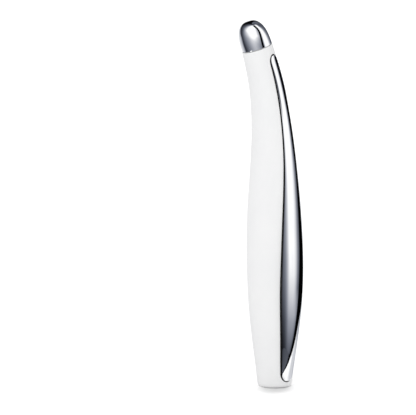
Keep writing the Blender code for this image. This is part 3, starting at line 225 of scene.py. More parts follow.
# Studio
FLOOR_SIZE = 14
FLOOR_DROP = 0.00002
FLOOR_COLOUR = 0.93
FLOOR_LIFT_NEAR = 0.24
FLOOR_LIFT_FAR = 0.10
FLOOR_LIFT_SPAN = (0.15, 0.9)
# A painted contact shadow: an oval of the floor, set toward the camera, with darker colour and less
# lift
SHADOW_HALF_WIDTH = 0.0124
SHADOW_HALF_LENGTH = 0.0205
SHADOW_PLACE = 0.007
SHADOW_DEPTH = 0.80
SHADOW_LIFT_SHARES = (0.21, 0.79)
AMBIENT = 0.83
KEY_POWER = 14
KEY_SIZE = 1.2
KEY_PLACE = Vector((1.3, -1.2, 1.9))
FILL_POWER = 6
FILL_SIZE = 1.6
FILL_PLACE = Vector((-1.6, 0.9, 1.5))

# What the chrome mirrors: glowing cards standing in for lit grey paper, as (place, grey) across and
# (place, brightness) up.
# The far ones' edges are (degrees up, left, right), in degrees from the camera's side
LEFT_RADIUS = 0.30
LEFT_EDGES = ((-60, -145, 60), (88, -145, 60))
LEFT_LEVEL = 2.39
LEFT_CARD_ACROSS = (
    (-145, 0.006), (-135, 0.018), (-125, 0.033), (-115, 0.058), (-105, 0.138), (-95, 0.267),
    (-85, 0.4), (-75, 0.533), (-65, 0.667), (-55, 0.822), (-45, 0.956), (-35, 1), (-25, 0.978),
    (-15, 0.867), (-5, 0.711), (5, 0.556), (15, 0.422), (25, 0.293), (35, 0.218), (45, 0.138),
    (60, 0.09),
)
LEFT_CARD_UP = (
    (-60, 0.17), (-25, 0.19), (-15, 0.24), (-5, 0.31), (5, 0.47), (15, 0.65), (25, 1), (88, 1),
)
RIGHT_RADIUS = 0.298
RIGHT_EDGES = (
    (-60, 48, 178), (0, 51.5, 180), (25, 58, 166), (35, 63.5, 157), (45, 67, 149), (55, 69, 143),
    (70, 64, 185), (78, 60, 210), (88, 55, 225),
)
RIGHT_CARD_ACROSS = (
    (0, 0.1), (0.024, 0.16), (0.048, 0.24), (0.08, 0.55), (0.127, 0.93), (0.16, 1), (0.43, 1),
    (0.482, 0.95), (0.522, 0.85), (0.57, 0.62), (0.61, 0.42), (0.657, 0.25), (0.7, 0.165),
    (0.785, 0.095), (0.88, 0.075), (1, 0.07),
)
LINE_RADIUS = 0.296
LINE_EDGES = (
    (-60, 30, 48), (-10, 32, 48), (3, 35.5, 54.5), (24, 40, 61), (41, 45, 71), (55, 44, 76),
    (65, 37, 78), (73, 22, 80), (79, -20, 98), (83, -90, 150), (88, -180, 180),
)
LINE_ACROSS = ((0, 0.05), (0.12, 0.0005), (0.92, 0.0005), (1, 0.03))
LOW_RADIUS = 0.294
LOW_EDGES = ((-60, -190, -118), (-8, -190, -118), (19, -190, -150.4))
LOW_FADE = 0.93
LOW_CARD_ACROSS = (
    (0, 0.85), (0.25, 1), (0.45, 0.95), (0.6, 0.76), (0.73, 0.63), (0.82, 0.5), (0.9, 0.3),
    (0.95, 0.16), (1, 0.05),
)
LOW_CARD_UP = ((0, 0.75), (0.45, 0.85), (0.75, 1), (1, 1))
BACK_RADIUS = 0.32
BACK_EDGES = (
    (8, 65, 228), (25, 65, 228), (35, 97, 230), (50, 122, 235), (65, 140, 250), (88, 145, 270),
)
BACK_CARD_ACROSS = (
    (0, 0.12), (0.35, 0.11), (0.48, 0.12), (0.54, 0.12), (0.6, 0.003), (0.9, 0.0005), (1, 0.0005),
)
EVEN = ((0, 1), (1, 1))

# Close cards: an upright wall by each strip, its right one with a black band at its far end
NEAR_RADIUS = 0.040
NEAR_HIGH = 0.118
NEAR_FADE = 0.92
BAND_ROWS = (
    (0, 69, 82), (0.0015, 71, 86), (0.005, 77, 96), (0.0087, 81.5, 103), (0.0135, 84.5, 109),
    (0.017, 85.5, 113), (0.021, 86.5, 121), (0.0255, 87, 129), (0.0305, 88, 134), (0.0415, 89, 130),
    (0.06, 94.5, 126), (0.087, 107, 128), (0.1, 106, 134), (0.118, 107, 138),
)
RAMP_STARTS = ((0.06, 45), (0.087, 60), (0.1, 76), (0.118, 84))
NEAR_FRONT_LEVEL = 1.38
NEAR_FRONT_UP = (
    (0, 0.077), (0.005, 0.123), (0.0166, 0.254), (0.0285, 0.462), (0.041, 0.7), (0.055, 0.9),
    (0.068, 1), (0.118, 1),
)
NEAR_FRONT_ACROSS = (
    (-90, 0.095), (-60, 0.125), (-40, 0.16), (-25, 0.2), (-8, 0.3), (6, 0.45), (20, 0.68),
    (34, 0.95), (45, 1),
)
NEAR_BACK_ACROSS = (
    (0, 1), (0.3, 0.99), (0.44, 0.82), (0.51, 0.74), (0.58, 0.58), (0.66, 0.43), (0.74, 0.28),
    (0.86, 0.17), (0.97, 0.12), (1, 0.03),
)
NEAR_LOW_RADIUS = 0.0395
NEAR_LOW_HIGH = 0.034
NEAR_LOW_FADE = 0.60
NEAR_LOW_ACROSS = ((0, 1), (0.5, 1), (0.7, 0.9), (0.85, 0.68), (1, 0.45))
NEAR_LOW_UP = ((0, 0.1), (0.005, 0.16), (0.0166, 0.33), (0.0285, 0.6), (0.034, 0.72))
RIM_END = 136
RIM_ACROSS = ((0, 0.95), (0.05, 0.95), (0.12, 0.86), (0.25, 0.7), (0.38, 0.62), (1, 0.58))
RIM_UP = ((0, 1), (0.004, 0.95), (0.009, 0.8), (0.0135, 0.62), (0.118, 0.6))
BAND_ACROSS = ((0, 0.02), (0.08, 0.0005), (1, 0.0005))
NEAR_LEFT_ACROSS = ((-90, 0.06), (-70, 0.12), (-55, 0.4), (-40, 0.8), (-28, 1), (45, 1))
NEAR_UP = (
    (0, 0.1), (0.005, 0.16), (0.0166, 0.33), (0.0285, 0.6), (0.041, 0.88), (0.055, 1), (0.118, 1),
)
NEAR_LEFT_UP = ((0, 0.55), (0.02, 0.66), (0.04, 0.9), (0.055, 1), (0.118, 1))
NECK_RADIUS = 0.041
NECK_SPAN = (0.106, 0.142)
NECK_FADE = 0.9
NECK_CARD_ACROSS = (
    (45, 1), (82, 1), (89, 0.9), (96, 0.55), (101, 0.22), (105, 0.02), (107, 0.0005),
    (133, 0.0005), (136, 0.05),
)
FLOOR_CARD_LEVEL = 0.0004
FLOOR_ROWS = (
    (0.0145, -150, -140), (0.0151, -150, -75), (0.0165, -150, -12), (0.022, -150, 35),
    (0.029, -150, 64), (0.0392, -150, 82), (0.085, -150, 84),
)
FLOOR_CARD_ACROSS = (
    (0, 0.03), (0.4, 0.045), (0.53, 0.06), (0.66, 0.075), (0.8, 0.085), (0.9, 0.09),
    (0.925, 0.03), (0.94, 0.0005), (1, 0.0005),
)
REAR_ROWS = (
    (0.01, 40, 140), (0.012, 44, 140), (0.0165, 57, 140), (0.024, 71, 140), (0.031, 80, 140),
    (0.0405, 89, 140),
)
REAR_CARD_ACROSS = (
    (0, 1), (0.03, 0.97), (0.08, 0.86), (0.145, 0.72), (0.24, 0.59), (0.38, 0.66), (0.5, 0.6),
    (0.62, 0.5), (0.8, 0.5), (1, 0.55),
)
CARD_COLUMNS = 96
CARD_ROWS = 24
CARD_LEVEL = 1.09
SLATE = (0.91, 1, 1.28)
TONES = (0, 0.04, 0.1, 0.2, 0.35, 0.55, 0.8, 1)


def smooth_curve(places, values):
    """A natural cubic through the points, as a function of the place."""
    x = np.array(places, float)
    y = np.array(values, float)
    step = np.diff(x)
    count = len(x)
    matrix = np.eye(count)
    right = np.zeros(count)
    for i in range(1, count - 1):
        matrix[i, i - 1 : i + 2] = step[i - 1], 2 * (step[i - 1] + step[i]), step[i]
        right[i] = 6 * ((y[i + 1] - y[i]) / step[i] - (y[i] - y[i - 1]) / step[i - 1])
    bend = np.linalg.solve(matrix, right)

    def value(place):
        i = int(np.clip(np.searchsorted(x, place) - 1, 0, count - 2))
        ahead = x[i + 1] - place
        behind = place - x[i]
        width = step[i]
        curved = (bend[i] * ahead**3 + bend[i + 1] * behind**3) / (6 * width)
        low = (y[i] / width - bend[i] * width / 6) * ahead
        high = (y[i + 1] / width - bend[i + 1] * width / 6) * behind
        return float(curved + low + high)

    return value


width_share = smooth_curve(STATION_SHARES, WIDTH_SHARES)
depth_share = smooth_curve(STATION_SHARES, DEPTH_SHARES)
sweep_share = smooth_curve(STATION_SHARES, SWEEP_SHARES)
proud_share = smooth_curve(PROUD_STATION_SHARES, PROUD_SHARES)
front_edge = smooth_curve(EDGE_STATION_SHARES, FRONT_EDGE_DEGREES)
rear_edge = smooth_curve(EDGE_STATION_SHARES, REAR_EDGE_DEGREES)


def roll(distance, length):
    """Height share of a quarter round, from 0 at its edge to 1 at its full length."""
    left = 1 - min(max(distance / length, 0), 1)
    return math.sqrt(1 - left * left)


def quarter_turns(steps):
    return [math.pi / 2 * i / steps for i in range(steps + 1)]


def strip_rise(share):
    return STRIP_PROUD * proud_share(share)


def shell_half_width(share):
    return BODY_WIDTH / 2 * width_share(share) - strip_rise(share)


def shell_half_depth(share):
    return BODY_DEPTH / 2 * depth_share(share)


def spine(share):
    return Vector((0, -HEAD_REACH * sweep_share(share), BODY_HEIGHT * share))


def tilt(share):
    climb = (share - TILT_START_SHARE) / (1 - TILT_START_SHARE)
    return HEAD_TILT * min(max(climb, 0), 1) ** 2


def on_section(share, angle, half_width, half_depth):
    """A point of the section at a height share: angle 0 is +X, 90 degrees is the back."""
    lean = tilt(share)
    across = half_depth * math.sin(angle)
    aside = half_width * math.cos(angle)
    offset = Vector((aside, across * math.cos(lean), across * math.sin(lean)))
    return spine(share) + offset


def outer_half_sizes(share):
    """The shell's outside, with its rounded foot and its rounded mouth."""
    height = BODY_HEIGHT * share
    foot = 1 - roll(height, BASE_ROUND_HEIGHT)
    mouth = 1 - roll(BODY_HEIGHT - height, RIM_ROUND)
    half_width = shell_half_width(share) - BASE_ROUND_SIDE * foot - RIM_ROUND * mouth
    half_depth = shell_half_depth(share) - BASE_ROUND_FRONT * foot - RIM_ROUND * mouth
    return half_width, half_depth


def inner_half_sizes(share, clearance=0):
    """The shell's inside, never narrower than the bore for the battery."""
    half_width = max(shell_half_width(share) - WALL, BASE_BORE_RADIUS)
    half_depth = max(shell_half_depth(share) - WALL, BASE_BORE_RADIUS)
    if share > TILT_START_SHARE:
        half_depth = shell_half_depth(share) - WALL
    return half_width - clearance, half_depth - clearance


def as_angle(length, share):
    """The angle that a short length takes up round the section."""
    return 2 * length / (shell_half_width(share) + shell_half_depth(share))


def shrunk(sizes, by):
    return sizes[0] - by, sizes[1] - by


def strip_span(grow=0):
    """The heights of a strip's two tips."""
    return STRIP_BOTTOM_SHARE - grow / BODY_HEIGHT, STRIP_TOP_SHARE + grow / BODY_HEIGHT


def strip_edges(share, grow=0):
    """The angles of a strip's front and rear edge at a height, drawn in at its round ends."""
    low, high = strip_span(grow)
    from_low = (share - low) * BODY_HEIGHT
    from_high = (high - share) * BODY_HEIGHT
    held = min(max(share, EDGE_STATION_SHARES[0]), EDGE_STATION_SHARES[-1])
    extra = as_angle(grow, share)
    front = math.radians(front_edge(held)) - extra
    rear = math.radians(rear_edge(held)) + extra
    if from_low < from_high:
        tip = STRIP_BOTTOM_TIP_ANGLE
        open_share = roll(from_low, STRIP_TIP_LENGTH + grow)
    else:
        tip = STRIP_TOP_TIP_ANGLE
        open_share = roll(from_high, STRIP_TIP_LENGTH + grow)
    return tip + (front - tip) * open_share, tip + (rear - tip) * open_share


def strip_shares(grow=0):
    """Heights of a strip's rows, close together at its round ends."""
    low, high = strip_span(grow)
    tip = (STRIP_TIP_LENGTH + grow) / BODY_HEIGHT
    turns = [(i + TIP_FIRST_ROW) / TIP_ROWS for i in range(TIP_ROWS)]
    rises = [tip * (1 - math.cos(math.pi / 2 * t)) for t in turns]
    shares = [low + rise for rise in rises]
    shares += [low + tip + (high - low - 2 * tip) * i / BODY_ROWS for i in range(BODY_ROWS + 1)]
    shares += [high - rise for rise in reversed(rises)]
    return shares


def seam_angle(share):
    """The seam runs under the strips, and on from their tips to both ends of the body."""
    if share <= STRIP_BOTTOM_SHARE:
        return STRIP_BOTTOM_TIP_ANGLE
    if share >= STRIP_TOP_SHARE:
        return STRIP_TOP_TIP_ANGLE
    front, rear = strip_edges(share)
    return front + STRIP_SEAM_SHARE * (rear - front)


def shell_shares():
    """Heights of the shells' rows: the rounded foot, below the beds, the beds, above, the mouth."""
    foot = BASE_ROUND_HEIGHT / BODY_HEIGHT
    mouth = RIM_ROUND / BODY_HEIGHT
    low, high = strip_span(BED_GAP)
    turns = quarter_turns(ROUND_ROWS)
    shares = [foot * (1 - math.cos(turn)) for turn in turns]
    shares += [foot + (low - foot) * i / ROUND_ROWS for i in range(1, ROUND_ROWS + 1)]
    shares += strip_shares(BED_GAP)
    shares += [high + (1 - mouth - high) * i / ROUND_ROWS for i in range(ROUND_ROWS)]
    shares += [1 - mouth * (1 - math.sin(turn)) for turn in turns]
    return shares


def arc(start, end, steps):
    return [start + (end - start) * i / steps for i in range(steps + 1)]


def on_bed(share):
    low, high = strip_span(BED_GAP)
    return low < share < high


def outside_half(share, seam, middle, steps):
    """From the seam along the bed's floor, up its wall, over its lip and on to the middle line."""
    outer = outer_half_sizes(share)
    toward = 1 if middle > seam else -1
    edge = seam
    sink = 0
    lip = 0
    if on_bed(share):
        front, rear = strip_edges(share, BED_GAP)
        edge = rear if toward > 0 else front
        sink = STRIP_INSET + STRIP_BED
        lip = BED_LIP
    path = [(angle, shrunk(outer, sink)) for angle in arc(seam, edge, FLOOR_STEPS)]
    turned_in = as_angle(lip, share) * toward
    for turn in quarter_turns(LIP_STEPS):
        drop = lip * (1 - math.sin(turn))
        path.append((edge + turned_in * (1 - math.cos(turn)), shrunk(outer, drop)))
    path += [(angle, outer) for angle in arc(edge + turned_in, middle, steps)[1:]]
    return path


def inside_half(share, seam, middle, gap, steps):
    """Back inside from the middle line to the tongue and the seam."""
    outer = outer_half_sizes(share)
    inner = inner_half_sizes(share)
    tongue = tuple(i + TONGUE_WALL_SHARE * (o - i) + gap for o, i in zip(outer, inner))
    end = seam + as_angle(TONGUE_LENGTH, share)
    path = [(angle, inner) for angle in arc(middle, end, steps)]
    path.append((end, tongue))
    path.append((seam, tongue))
    return path


def whole_loop(share, outside, inside):
    """Both halves of a shell's section joined into one closed loop."""
    mirrored_outside = [(math.pi - angle, sizes) for angle, sizes in reversed(outside[:-1])]
    mirrored_inside = [(math.pi - angle, sizes) for angle, sizes in reversed(inside)]
    path = outside + mirrored_outside + mirrored_inside + inside[1:]
    return [on_section(share, angle, *sizes) for angle, sizes in path]


def shell_loop(share, middle, steps, seam_gap=0, tongue_gap=0):
    """One section of a shell, whose middle line is at the front or at the back."""
    seam = seam_angle(share) + as_angle(seam_gap, share)
    outside = outside_half(share, seam, middle, steps)
    inside = inside_half(share, seam, middle, tongue_gap, steps // 2)
    return whole_loop(share, outside, inside)


def mirrored(loop, side):
    return [Vector((side * p.x, p.y, p.z)) for p in loop]


def strip_width(share):
    front, rear = strip_edges(share)
    return (rear - front) / as_angle(1, share)


def across_strip():
    """Shares across a strip's outer face, close together at its rolled edges."""
    return [(1 - math.cos(math.pi * i / STRIP_STEPS)) / 2 for i in range(STRIP_STEPS + 1)]


def to_strip_tip(share):
    return min(share - STRIP_BOTTOM_SHARE, STRIP_TOP_SHARE - share) * BODY_HEIGHT


def strip_reaches(share):
    """How far each point of a strip's section is from its front edge or its tip."""
    width = strip_width(share)
    tip = to_strip_tip(share)
    return [min(across * width, tip) for across in across_strip()] + [0] * (STRIP_INNER_STEPS + 1)


def strip_loop(share, side):
    """One fine section of a side strip: rolled edges, a full middle and an inner face."""
    front, rear = strip_edges(share)
    width = strip_width(share)
    to_tip = to_strip_tip(share)
    half_width = shell_half_width(share)
    half_depth = shell_half_depth(share)
    rise = strip_rise(share) - STRIP_EDGE_PROUD
    outer = []
    for across in across_strip():
        from_front = across * width
        from_rear = width - from_front
        full = roll(from_front, STRIP_ROLL_FRONT) * roll(from_rear, STRIP_ROLL_REAR)
        full *= roll(to_tip, STRIP_TIP_LENGTH)
        edge = roll(from_front, STRIP_ROLL_EDGE) * roll(from_rear, STRIP_ROLL_EDGE)
        edge *= roll(to_tip, STRIP_ROLL_EDGE)
        lift = STRIP_EDGE_PROUD * edge
        sizes = (half_width + rise * full + lift, half_depth + lift)
        outer.append(on_section(share, front + (rear - front) * across, *sizes))
    under = (half_width - STRIP_INSET, half_depth - STRIP_INSET)
    inner = [on_section(share, angle, *under) for angle in arc(rear, front, STRIP_INNER_STEPS)]
    return mirrored(outer + inner, side)


def seal_loop(share, side):
    """The dark foam seal round and under a strip: a floor and two low lips in the gap, which are
    painted shade.
    """
    wall_front, wall_rear = strip_edges(share, BED_GAP - SEAL_CLEARANCE)
    front, rear = strip_edges(share, SEAL_CLEARANCE)
    sizes = (shell_half_width(share), shell_half_depth(share))
    top = shrunk(sizes, SEAL_SINK)
    under = shrunk(sizes, STRIP_INSET + SEAL_CLEARANCE)
    bottom = shrunk(sizes, STRIP_INSET + STRIP_BED - SEAL_CLEARANCE)
    path = [(wall_front, top)]
    path += [(angle, bottom) for angle in arc(wall_front, wall_rear, STRIP_INNER_STEPS)]
    path += [(wall_rear, top), (rear, top)]
    path += [(angle, under) for angle in arc(rear, front, STRIP_INNER_STEPS)]
    path.append((front, top))
    return mirrored([on_section(share, angle, *reach) for angle, reach in path], side)


class Frame:
    """A place with three directions of its own."""

    def __init__(self, origin, along_x, along_y, along_z):
        self.origin = Vector(origin)
        self.x = Vector(along_x).normalized()
        self.y = Vector(along_y).normalized()
        self.z = Vector(along_z).normalized()

    def at(self, a, b, c):
        return self.origin + self.x * a + self.y * b + self.z * c


def head_frame():
    """The mouth of the neck: z runs out along the massage head."""
    lean = tilt(1)
    along = (0, -math.sin(lean), math.cos(lean))
    return Frame(spine(1), (1, 0, 0), (0, math.cos(lean), math.sin(lean)), along)


def button_frame():
    """On the back surface under the button: z points out of the back, y up along it."""
    back = math.radians(90)
    shares = (BUTTON_SHARE - SLOPE_SHARE, BUTTON_SHARE, BUTTON_SHARE + SLOPE_SHARE)
    below, here, above = (on_section(share, back, 0, shell_half_depth(share)) for share in shares)
    up = (above - below).normalized()
    return Frame(here, (-1, 0, 0), up, Vector((-1, 0, 0)).cross(up))


def rivet_frame(side):
    """Where a contact rivet crosses the rear shell: z points out of the body."""
    half_width = shell_half_width(RIVET_SHARE)
    half_depth = shell_half_depth(RIVET_SHARE)
    angle = math.atan2(half_depth * math.sin(RIVET_ANGLE), half_width * math.cos(RIVET_ANGLE))
    out = Vector((side * math.cos(RIVET_ANGLE), math.sin(RIVET_ANGLE), 0))
    place = mirrored([on_section(RIVET_SHARE, angle, half_width, half_depth)], side)[0]
    up = Vector((0, 0, 1))
    return Frame(place, up.cross(out), up, out)


def add_object(name, data):
    item = bpy.data.objects.new(name, data)
    bpy.context.scene.collection.objects.link(item)
    return item


def soften(mesh):
    """Smooth faces, with sharp edges where the angle is large."""
    mesh.shade_smooth()
    mesh.set_sharp_from_angle(angle=SMOOTH_ANGLE)


def add_mesh(name, points, faces):
    """A closed mesh object with its faces out."""
    build = bmesh.new()
    made = [build.verts.new(p) for p in points]
    for face in faces:
        build.faces.new([made[i] for i in face])
    bmesh.ops.remove_doubles(build, verts=build.verts, dist=MERGE_DISTANCE)
    bmesh.ops.recalc_face_normals(build, faces=build.faces)
    mesh = bpy.data.meshes.new(name)
    build.to_mesh(mesh)
    build.free()
    soften(mesh)
    return add_object(name, mesh)


def loft(name, loops):
    """Closed loops of the same count joined in order, with a flat face at each end."""
    count = len(loops[0])
    points = [p for loop in loops for p in loop]
    faces = []
    for row in range(len(loops) - 1):
        for i in range(count):
            j = (i + 1) % count
            low = row * count
            faces.append((low + i, low + j, low + count + j, low + count + i))
    faces.append(tuple(range(count)))
    faces.append(tuple(range(len(points) - count, len(points))))
    return add_mesh(name, points, faces)


def oval_rings(name, place, rings, segments):
    """Oval rings (half width, half depth, height) joined in order, closed at a pole at each end."""
    points = [place.at(0, 0, rings[0][2])]
    faces = []
    for half_width, half_depth, height in rings[1:-1]:
        for i in range(segments):
            angle = 2 * math.pi * i / segments
            aside = half_width * math.cos(angle)
            points.append(place.at(aside, half_depth * math.sin(angle), height))
    points.append(place.at(0, 0, rings[-1][2]))
    last = len(points) - 1
    count = len(rings) - 2
    for i in range(segments):
        j = (i + 1) % segments
        faces.append((0, 1 + j, 1 + i))
        for ring in range(count - 1):
            low = 1 + ring * segments
            faces.append((low + i, low + j, low + segments + j, low + segments + i))
        low = 1 + (count - 1) * segments
        faces.append((low + i, low + j, last))
    return add_mesh(name, points, faces)


def slot_outline(width, length):
    """A long hole or key with round ends, its length along y."""
    radius = width / 2
    straight = length / 2 - radius
    half = SLOT_SEGMENTS // 2
    points = []
    for end in (1, -1):
        for i in range(half + 1):
            angle = math.pi * i / half + (0 if end == 1 else math.pi)
            points.append((radius * math.cos(angle), radius * math.sin(angle) + end * straight))
    return points


def cut_away(item, tools):
    """Take the tools from a piece for good, and remove them."""
    for tool in tools:
        step = item.modifiers.new("cut_" + tool.name, "BOOLEAN")
        step.operation = "DIFFERENCE"
        step.solver = "EXACT"
        step.object = tool
    graph = bpy.context.evaluated_depsgraph_get()
    mesh = bpy.data.meshes.new_from_object(item.evaluated_get(graph))
    item.modifiers.clear()
    item.data = mesh
    soften(mesh)
    for tool in tools:
        bpy.data.objects.remove(tool, do_unlink=True)


def stands_for(item, node, body):
    """A fine piece takes a node's place and body."""
    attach(item, body)
    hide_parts(node)
    return item


def make_shells():
    shares = shell_shares()
    back = math.pi / 2
    front = loft("shell_front", [shell_loop(share, -back, FRONT_STEPS) for share in shares])
    rear_loops = [shell_loop(share, back, REAR_STEPS, SEAM_GAP, TONGUE_GAP) for share in shares]
    rear = loft("shell_rear", rear_loops)
    place = button_frame()
    hole = slot_outline(BUTTON_WIDTH + 2 * BUTTON_GAP, BUTTON_LENGTH + 2 * BUTTON_GAP)
    levels = (-FLANGE_DEPTH, BUTTON_CUT_OVERRUN)
    tools = [loft("button_opening", [[place.at(x, y, level) for x, y in hole] for level in levels])]
    for side in (1, -1):
        spot = rivet_frame(side)
        low = -WALL - RIVET_CUT_OVERRUN
        high = -STRIP_INSET + RIVET_CUT_OVERRUN
        circle = [(0, 0, high), (RIVET_HOLE_RADIUS, RIVET_HOLE_RADIUS, high)]
        circle += [(RIVET_HOLE_RADIUS, RIVET_HOLE_RADIUS, low), (0, 0, low)]
        tools.append(oval_rings("rivet_opening", spot, circle, HOLE_SEGMENTS))
    cut_away(rear, tools)
    stands_for(front, "front_shell", "hand_piece")
    stands_for(rear, "rear_shell", "hand_piece")
    return front, rear


def make_strips():
    strips = []
    shares = strip_shares()
    reaches = [reach for share in shares for reach in strip_reaches(share)]
    for side, label in SIDES:
        strip = loft("chrome_strip_" + label, [strip_loop(share, side) for share in shares])
        # Each point's reach from the front edge steers the painted shade along it
        layer = strip.data.uv_layers.new(name="reach")
        for loop in strip.data.loops:
            layer.data[loop.index].uv = (reaches[loop.vertex_index] / EDGE_SHADE_SPAN, 0)
        strips.append(stands_for(strip, "side_strip_" + label, "hand_piece"))
    return strips


def make_seals():
    seals = []
    for side, label in SIDES:
        shares = strip_shares(BED_GAP - SEAL_CLEARANCE)
        seal = loft("strip_seal_" + label, [seal_loop(share, side) for share in shares])
        seals.append(stands_for(seal, "strip_tape_" + label, "hand_piece"))
    return seals


def make_head():
    base = HEAD_SEAT_GAP
    half_width = shell_half_width(1) - HEAD_STEP
    half_depth = shell_half_depth(1) - HEAD_STEP
    spigot = inner_half_sizes(1, SPIGOT_CLEARANCE)
    bore_width, bore_depth = shrunk(spigot, SPIGOT_WALL)
    power = 2 / HEAD_ROUNDNESS
    rings = [(0, 0, base + HEAD_LENGTH)]
    for i in range(1, HEAD_ROWS + 1):
        turn = math.pi / 2 * (1 - i / HEAD_ROWS)
        out = math.cos(turn) ** power
        height = base + HEAD_LENGTH * math.sin(turn) ** power
        rings.append((half_width * out, half_depth * out, height))
    for turn in quarter_turns(LIP_STEPS)[1:]:
        inset = HEAD_RIM_ROUND * (1 - math.cos(turn))
        height = base + HEAD_RIM_ROUND * (1 - math.sin(turn))
        rings.append((half_width - inset, half_depth - inset, height))
    rings.append((*spigot, base))
    rings.append((*spigot, base - SPIGOT_LENGTH))
    rings.append((bore_width, bore_depth, base - SPIGOT_LENGTH))
    hollow = HEAD_LENGTH - HEAD_WALL
    for turn in quarter_turns(HEAD_ROWS // 2)[:-1]:
        out = math.cos(turn) ** power
        height = base + HEAD_WALL + (hollow - HEAD_WALL) * math.sin(turn) ** power
        rings.append((bore_width * out, bore_depth * out, height))
    rings.append((0, 0, base + hollow))
    head = oval_rings("chrome_head", head_frame(), rings, HEAD_SEGMENTS)
    return stands_for(head, "massage_head", "hand_piece")


def is_outside(point, sink):
    """Whether a point is outside the shell's outer surface, sunk by a little."""
    share = point.z / BODY_HEIGHT
    for _ in range(SEARCH_STEPS):
        across = (point.y - spine(share).y) * math.tan(tilt(share))
        share = (point.z - across) / BODY_HEIGHT
    lean = tilt(share)
    offset = point - spine(share)
    across = offset.y * math.cos(lean) + offset.z * math.sin(lean)
    wide = offset.x / (shell_half_width(share) - sink)
    return wide * wide + (across / (shell_half_depth(share) - sink)) ** 2 > 1


def height_on_back(place, x, y):
    """Height above the button's frame at which the back surface lies."""
    low = -FLANGE_DEPTH
    high = BUTTON_CUT_OVERRUN
    for _ in range(SEARCH_STEPS):
        middle = (low + high) / 2
        if is_outside(place.at(x, y, middle), BUTTON_SINK):
            high = middle
        else:
            low = middle
    return low


def make_button():
    """The key with a soft edge, its flange and its stem."""
    place = button_frame()
    key = slot_outline(BUTTON_WIDTH, BUTTON_LENGTH)
    flange = slot_outline(BUTTON_WIDTH + 2 * FLANGE_MARGIN, BUTTON_LENGTH + 2 * FLANGE_MARGIN)
    stem = slot_outline(STEM_WIDTH, STEM_BREADTH)
    bottom = -FLANGE_DEPTH - FLANGE_THICKNESS
    levels = [(stem, bottom - STEM_LENGTH), (stem, bottom), (flange, bottom)]
    levels += [(flange, -FLANGE_DEPTH), (key, -FLANGE_DEPTH)]
    loops = [[place.at(x, y, height) for x, y in outline] for outline, height in levels]
    turns = quarter_turns(BUTTON_RINGS)
    crown = [(BUTTON_ROUND * (1 - math.cos(t)), BUTTON_ROUND * (1 - math.sin(t))) for t in turns]
    crown += [(BUTTON_WIDTH / 2 * i / BUTTON_RINGS, 0) for i in range(2, BUTTON_RINGS)]
    for inset, sink in crown:
        outline = slot_outline(BUTTON_WIDTH - 2 * inset, BUTTON_LENGTH - 2 * inset)
        loops.append([place.at(x, y, height_on_back(place, x, y) - sink) for x, y in outline])
    return stands_for(loft("button_key", loops), "power_button", "button")


class Nodes:
    """The nodes of a material or of the world, made and joined in short steps."""

    def __init__(self, owner):
        owner.use_nodes = True
        self.owner = owner
        self.tree = owner.node_tree

    def fill(self, node, inputs):
        """Set each input to a plain value, or join it to another node's socket."""
        for name, value in inputs.items():
            if isinstance(value, bpy.types.NodeSocket):
                self.tree.links.new(value, node.inputs[name])
            else:
                node.inputs[name].default_value = value
        return node

    def add(self, kind, inputs, **settings):
        node = self.tree.nodes.new("ShaderNode" + kind)
        for name, value in settings.items():
            setattr(node, name, value)
        return self.fill(node, inputs)

    def shade(self, inputs):
        """Fill the inputs of the material's own shader."""
        self.fill(self.tree.nodes["Principled BSDF"], inputs)

    def show(self, shader, output="Material Output"):
        """Take another shader as the whole look."""
        self.fill(self.tree.nodes[output], {"Surface": shader})

    def place(self, kind="Object"):
        return self.add("TexCoord", {}).outputs[kind]

    def parts(self, kind="Object"):
        """The x, y and z of a place, as sockets X, Y and Z."""
        return self.add("SeparateXYZ", {"Vector": self.place(kind)}).outputs

    def noise(self, scale, detail=3, stretch=(1, 1, 1)):
        """Noise in metres on the object, stretched along an axis if asked."""
        mapping = self.add("Mapping", {"Vector": self.place(), "Scale": stretch})
        inputs = {"Vector": mapping.outputs["Vector"], "Scale": scale, "Detail": detail}
        return self.add("TexNoise", inputs).outputs["Fac"]

    def ramp(self, source, stops, interpolation="LINEAR"):
        """Colours between places, each stop a (place, colour)."""
        node = self.add("ValToRGB", {"Fac": source})
        node.color_ramp.interpolation = interpolation
        places = node.color_ramp.elements
        while len(places) < len(stops):
            places.new(1)
        for element, (place, colour) in zip(places, stops):
            element.position = place
            element.color = (*colour, 1)
        return node.outputs["Color"]

    def ranged(self, source, low, high, from_low=0, from_high=1, smooth=False):
        """A value spread between two ends."""
        span = {"From Min": from_low, "From Max": from_high, "To Min": low, "To Max": high}
        kind = "SMOOTHSTEP" if smooth else "LINEAR"
        node = self.add("MapRange", {"Value": source, **span}, interpolation_type=kind)
        return node.outputs["Result"]

    def maths(self, kind, first, second):
        return self.add("Math", {0: first, 1: second}, operation=kind).outputs["Value"]

    def length(self, source):
        return self.add("VectorMath", {0: source}, operation="LENGTH").outputs["Value"]

    def mixed(self, share, first, second):
        """Two shaders by a share: 0 is the first."""
        return self.add("MixShader", {0: share, 1: first, 2: second}).outputs["Shader"]

    def bump(self, source, distance):
        """Relief on the material's own shader."""
        node = self.add("Bump", {"Height": source, "Strength": 1, "Distance": distance})
        self.shade({"Normal": node.outputs["Normal"]})


def moulded(
    name, light, dark, rough, metallic=0, cloud=90, grain=2600, relief=4e-6, stretch=(1, 1, 1)
):
    """A material with a cloudy colour, uneven gloss and a fine relief."""
    nodes = Nodes(bpy.data.materials.new(name))
    clouds = nodes.ramp(nodes.noise(cloud), list(zip(NOISE_SPAN, (dark, light))))
    fine = nodes.noise(grain, detail=4, stretch=stretch)
    gloss = nodes.ranged(fine, *rough, *NOISE_SPAN)
    nodes.shade({"Base Color": clouds, "Roughness": gloss, "Metallic": metallic})
    nodes.bump(fine, relief)
    return nodes


def white_plastic():
    nodes = moulded("white_abs", **WHITE)
    nodes.shade({"IOR": WHITE_IOR})
    return nodes.owner


def greys(stops, low=0, high=1):
    """Stops over a span, as places from 0 to 1 with their greys."""
    return [((place - low) / (high - low), (value, value, value)) for place, value in stops]


